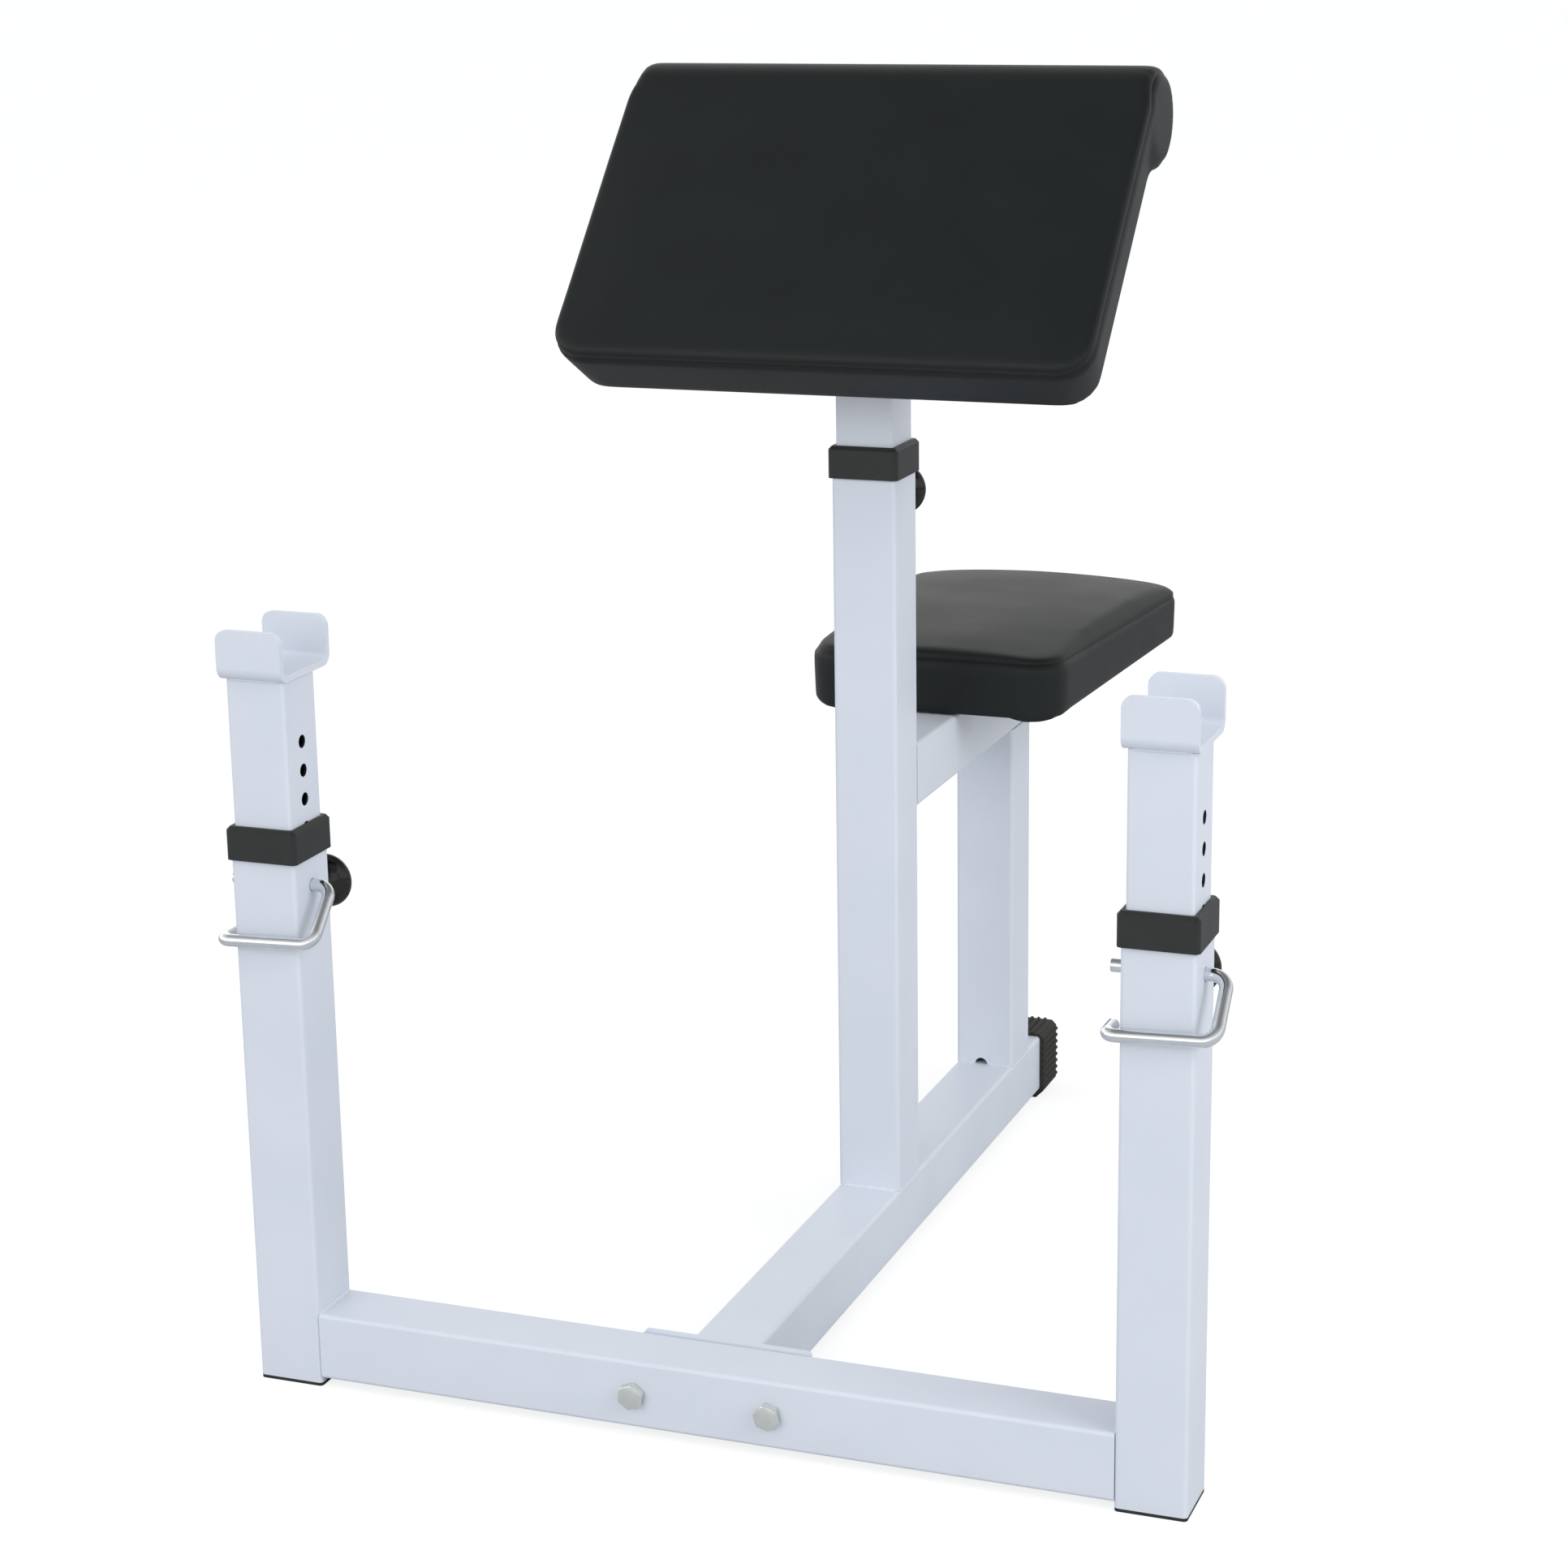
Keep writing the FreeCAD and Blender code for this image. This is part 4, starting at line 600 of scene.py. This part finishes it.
def turn_in(name, body, placed, low_half, high_half, low, high):
    """A cover's margin on the back of a board with four corners, and its staples."""
    bpy.ops.object.select_all(action="DESELECT")
    bpy.ops.mesh.primitive_plane_add(size=1)
    margin = bpy.context.object
    margin.name = name + "_margin"
    bpy.ops.object.mode_set(mode="EDIT")
    bpy.ops.transform.resize(value=(2 * (low_half + margin_out), high - low + 2 * margin_out, 1))
    bpy.ops.transform.translate(value=(0, (low + high) / 2, 0))
    bpy.ops.object.mode_set(mode="OBJECT")
    for vertex in margin.data.vertices:
        vertex.select = vertex.co.y > (low + high) / 2
    for edge in margin.data.edges:
        edge.select = all(margin.data.vertices[index].select for index in edge.vertices)
    margin.data.polygons[0].select = False
    bpy.ops.object.mode_set(mode="EDIT")
    bpy.ops.mesh.select_mode(type="VERT")
    bpy.ops.transform.resize(value=((high_half + margin_out) / (low_half + margin_out), 1, 1))
    bpy.ops.mesh.select_all(action="SELECT")
    bpy.ops.mesh.bevel(offset=margin_corner, segments=6, affect="VERTICES")
    bpy.ops.mesh.select_mode(type="FACE")
    bpy.ops.mesh.select_all(action="SELECT")
    bpy.ops.mesh.inset(thickness=margin_out + margin_in)
    bpy.ops.mesh.delete(type="FACE")
    bpy.ops.mesh.select_all(action="SELECT")
    bpy.ops.mesh.subdivide(number_cuts=margin_cuts)
    bpy.ops.object.mode_set(mode="OBJECT")
    for vertex in margin.data.vertices:
        wave = math.sin(vertex.co.x * trim_waves_across) * math.sin(vertex.co.y * trim_waves_along + 1)
        vertex.co.x -= math.copysign(trim_wander * wave, vertex.co.x)
        vertex.co.y += trim_wander * wave
    sheet = margin.modifiers.new("sheet", "SOLIDIFY")
    sheet.thickness = vinyl_thick
    sheet.offset = 0
    bpy.ops.object.modifier_apply(modifier=sheet.name)
    margin.data.transform(placed @ Matrix.Translation((0, 0, -vinyl_thick)))
    bpy.ops.object.shade_smooth_by_angle(angle=margin_smooth_below)
    margin.data.materials.append(vinyl)
    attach(margin, body)

    bpy.ops.object.select_all(action="DESELECT")
    bpy.ops.mesh.primitive_cube_add(size=1, scale=(staple_length, staple_wire, staple_wire))
    staple = bpy.context.object
    bpy.ops.object.transform_apply(location=True, rotation=True, scale=True)
    crown = staple.modifiers.new("crown", "BEVEL")
    crown.width = staple_wire / 3
    crown.segments = 2
    bpy.ops.object.modifier_apply(modifier=crown.name)
    row_low, row_high = low_half - staple_in, high_half - staple_in
    corners = [Vector((-row_low, low + staple_in, 0)), Vector((row_low, low + staple_in, 0)),
               Vector((row_high, high - staple_in, 0)), Vector((-row_high, high - staple_in, 0))]
    driven = []
    for start, end in zip(corners, corners[1:] + corners[:1]):
        count = int((end - start).length / staple_pitch)
        heading = math.atan2(end.y - start.y, end.x - start.x)
        for number in range(count):
            spot = start.lerp(end, (number + 0.5) / count) - Vector((0, 0, staple_out))
            skew = staple_skew * math.sin(skew_change * len(driven))
            copy = bpy.data.objects.new(name + "_staple", staple.data.copy())
            copy.data.transform(placed @ Matrix.Translation(spot)
                                @ Matrix.Rotation(heading + skew, 4, "Z"))
            bpy.context.scene.collection.objects.link(copy)
            driven.append(copy)
    bpy.data.objects.remove(staple)
    for copy in driven:
        copy.select_set(True)
    bpy.context.view_layer.objects.active = driven[0]
    bpy.ops.object.join()
    row = bpy.context.object
    row.name = name + "_staples"
    row.data.materials.append(zinc)
    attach(row, body)


pad_board_low, pad_board_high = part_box("pad_board")
pad_board_middle = (pad_board_low.x + pad_board_high.x) / 2
pad_board_half = (pad_board_high.x - pad_board_low.x) / 2
pad_board_start, pad_board_end = 0.022, 0.206
pad_back = from_slope @ Matrix.Translation((pad_board_middle, 0, -pad_depth))
turn_in("pad_cover", "pad_carriage", pad_back,
        pad_board_half, pad_board_half, pad_board_start, pad_board_end)

# Seat cushion. The same foam and vinyl on a board that widens to the rear, with a crowned top
# panel sewn to an upright border. The border is folded under the board's front edge, where the
# gathered vinyl hangs a little lower, most of all at the corners.
seat_low, seat_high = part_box("seat_cushion")
seat_board_low, seat_board_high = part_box("seat_board")
seat_middle = (seat_low.x + seat_high.x) / 2
seat_front_width, seat_rear_width = 0.211, 0.241
seat_widening = seat_rear_width / seat_front_width - 1
seat_seam_front, seat_seam_fall = 0.043, 0.007
seat_border_hold, seat_swell = 0.85, 0.0018


def seat_width_at(y):
    """The seat's width at a place along it, as a share of its front width."""
    return 1 + seat_widening * (y - seat_low.y) / (seat_high.y - seat_low.y)


def seat_squared(point):
    """A point of the seat drawn in as if its sides were parallel."""
    return Vector((seat_middle + (point.x - seat_middle) / seat_width_at(point.y), point.y, point.z))


def seat_restored(point):
    """A point of the seat with parallel sides back in its place."""
    return Vector((seat_middle + (point.x - seat_middle) * seat_width_at(point.y), point.y, point.z))


def seat_off_seam(point):
    """How far a point of the seat lies above its seam, which falls a little to the rear."""
    rearward = (point.y - seat_low.y) / (seat_high.y - seat_low.y)
    return point.z - seat_low.z - seat_seam_front + seat_seam_fall * rearward


def seat_held(point):
    """How firmly the seat's cover is held: fully where it is stapled, firmly along its border."""
    if point.z < seat_low.z + stapled_height:
        return 1.0
    return seat_border_hold if seat_off_seam(point) < past_seam else 0.0


seat_pad = upholster("seat_pad_cushion", "seat_cushion", "frame",
                     seat_squared, seat_restored, seat_held, seat_off_seam, seat_swell)
front_fold, corner_fold, fold_depth, fold_height, full_fold = 0.0018, 0.0026, 0.042, 0.032, 1.1
gather_middle, gather_half = 0.083, 0.018
corner_drop, corner_reach, drop_height = 0.0053, 0.118, 0.012
corners = []
for y in (seat_low.y, seat_high.y):
    half_width = (seat_high.x - seat_low.x) / 2 * seat_width_at(y) / (1 + seat_widening)
    corners += [Vector((seat_middle - half_width, y)), Vector((seat_middle + half_width, y))]
for vertex in seat_pad.data.vertices:
    off_corner = min((vertex.co.xy - corner).length for corner in corners)
    height = min(1.0, max(0.0, seat_off_seam(vertex.co) / drop_height))
    vertex.co.z -= corner_drop * max(0.0, 1 - off_corner / corner_reach) ** 2 * height
    nearness = min(1.0, max(0.0, full_fold - (vertex.co.y - seat_low.y) / fold_depth))
    lowness = min(1.0, max(0.0, 1 - (vertex.co.z - seat_low.z) / fold_height))
    gathered = max(0.0, 1 - ((abs(vertex.co.x - seat_middle) - gather_middle) / gather_half) ** 2)
    fold = front_fold + corner_fold * gathered
    vertex.co.z -= fold * nearness ** 2 * (3 - 2 * nearness) * lowness

seat_board_front_half, seat_board_rear_half = 0.0905, 0.1055
turn_in("seat_cover", "frame", Matrix.Translation((seat_middle, 0, seat_low.z)),
        seat_board_front_half, seat_board_rear_half, seat_board_low.y, seat_board_high.y)

# Studio. A pale floor that keeps the bench's shadow and looks white, a white surround that is
# brighter in front and dim overhead, a large soft lamp low at the front left, and a smaller one
# close by on the right.
floor_size = 60
bpy.ops.object.select_all(action="DESELECT")
bpy.ops.mesh.primitive_plane_add(size=floor_size, location=(0, 0, 0))
floor = bpy.context.object
floor.name = "studio_floor"
floor_paint = bpy.data.materials.new("studio_floor_white")
floor_paint.use_nodes = True
tree = floor_paint.node_tree
shader = tree.nodes["Principled BSDF"]
shader.inputs["Base Color"].default_value = linear("#c6c8ca")
shader.inputs["Roughness"].default_value = 0.9
rays = add_node(tree, "ShaderNodeLightPath")
shadow_catch = add_node(tree, "ShaderNodeBsdfDiffuse", {"Color": linear("#8c8c8c")})
white = add_node(tree, "ShaderNodeEmission", {"Color": (1, 1, 1, 1), "Strength": 0.8})
seen = add_node(tree, "ShaderNodeAddShader", {
    0: shadow_catch.outputs["BSDF"], 1: white.outputs["Emission"]})
blend = add_node(tree, "ShaderNodeMixShader", {
    "Fac": rays.outputs["Is Camera Ray"], 1: shader.outputs["BSDF"], 2: seen.outputs["Shader"]})
tree.links.new(blend.outputs["Shader"], tree.nodes["Material Output"].inputs["Surface"])
floor.data.materials.append(floor_paint)

world = bpy.data.worlds.new("white_surround")
bpy.context.scene.world = world
world.use_nodes = True
tree = world.node_tree
sky = tree.nodes["Background"]
sky.inputs["Color"].default_value = (0.95, 0.97, 1.0, 1.0)
sky.inputs["Strength"].default_value = 0.78
rays = add_node(tree, "ShaderNodeLightPath")
heading = add_node(tree, "ShaderNodeTexCoord").outputs["Generated"]
ahead = add_node(tree, "ShaderNodeSeparateXYZ", {"Vector": heading})
room = add_node(tree, "ShaderNodeMapRange", {
    "Value": ahead.outputs["Y"], "From Min": -0.7, "From Max": 0.3, "To Min": 1.25, "To Max": 1.0})
ceiling = add_node(tree, "ShaderNodeMapRange", {
    "Value": ahead.outputs["Z"], "From Min": 0.3, "From Max": 0.9, "To Min": 1.0, "To Max": 0.2})
across = add_node(tree, "ShaderNodeMapRange", {
    "Value": ahead.outputs["X"], "From Min": -0.5, "From Max": 0.5, "To Min": 1.4, "To Max": 0.88})
ahead_up = add_node(tree, "ShaderNodeMath", {
    0: room.outputs["Result"], 1: ceiling.outputs["Result"]}, operation="MULTIPLY")
shade = add_node(tree, "ShaderNodeMath", {
    0: ahead_up.outputs["Value"], 1: across.outputs["Result"]}, operation="MULTIPLY")
mirrored = add_node(tree, "ShaderNodeMath", {
    0: rays.outputs["Is Glossy Ray"], 1: rays.outputs["Is Transmission Ray"]}, operation="MAXIMUM")
reflection = add_node(tree, "ShaderNodeBackground", {
    "Color": (1, 1, 1, 1), "Strength": shade.outputs["Value"]})
backdrop = add_node(tree, "ShaderNodeBackground", {"Color": (1, 1, 1, 1), "Strength": 1.0})
lit = add_node(tree, "ShaderNodeMixShader", {
    "Fac": mirrored.outputs["Value"], 1: sky.outputs["Background"], 2: reflection.outputs["Background"]})
both = add_node(tree, "ShaderNodeMixShader", {
    "Fac": rays.outputs["Is Camera Ray"], 1: lit.outputs["Shader"], 2: backdrop.outputs["Background"]})
tree.links.new(both.outputs["Shader"], tree.nodes["World Output"].inputs["Surface"])

lamps = [
    ("key_lamp", Vector((-2.0, -6.2, 2.6)), 4.0, 120),
    ("fill_lamp", Vector((2.9, -1.0, 2.0)), 2.2, 46),
]
lit_middle = Vector((0, 0, 0.45))
for name, where, size, power in lamps:
    lamp = bpy.data.objects.new(name, bpy.data.lights.new(name, "AREA"))
    lamp.data.size = size
    lamp.data.energy = power
    lamp.location = where
    lamp.visible_glossy = False
    lamp.rotation_euler = (lit_middle - where).to_track_quat("-Z", "Y").to_euler()
    bpy.context.scene.collection.objects.link(lamp)

# Camera. It stands to the right of the middle, a little above the arm pad, and looks down at
# the bench from the front.
yaw, pitch, roll = math.radians(20.97), math.radians(15.08), math.radians(-0.88)
forward = Vector((-math.sin(yaw) * math.cos(pitch), math.cos(yaw) * math.cos(pitch), -math.sin(pitch)))
level_right = Vector((math.cos(yaw), math.sin(yaw), 0))
level_up = level_right.cross(forward)
right = level_right * math.cos(roll) + level_up * math.sin(roll)
up = level_up * math.cos(roll) - level_right * math.sin(roll)
camera = bpy.data.objects.new("photo_camera", bpy.data.cameras.new("photo_camera"))
camera.data.sensor_width = 36
camera.data.lens = 77.92
camera.location = (0.8349, -2.4076, 1.0595)
camera.rotation_euler = Matrix((right, up, -forward)).transposed().to_euler()
bpy.context.scene.collection.objects.link(camera)
bpy.context.scene.camera = camera
bpy.context.scene.view_settings.view_transform = "Standard"
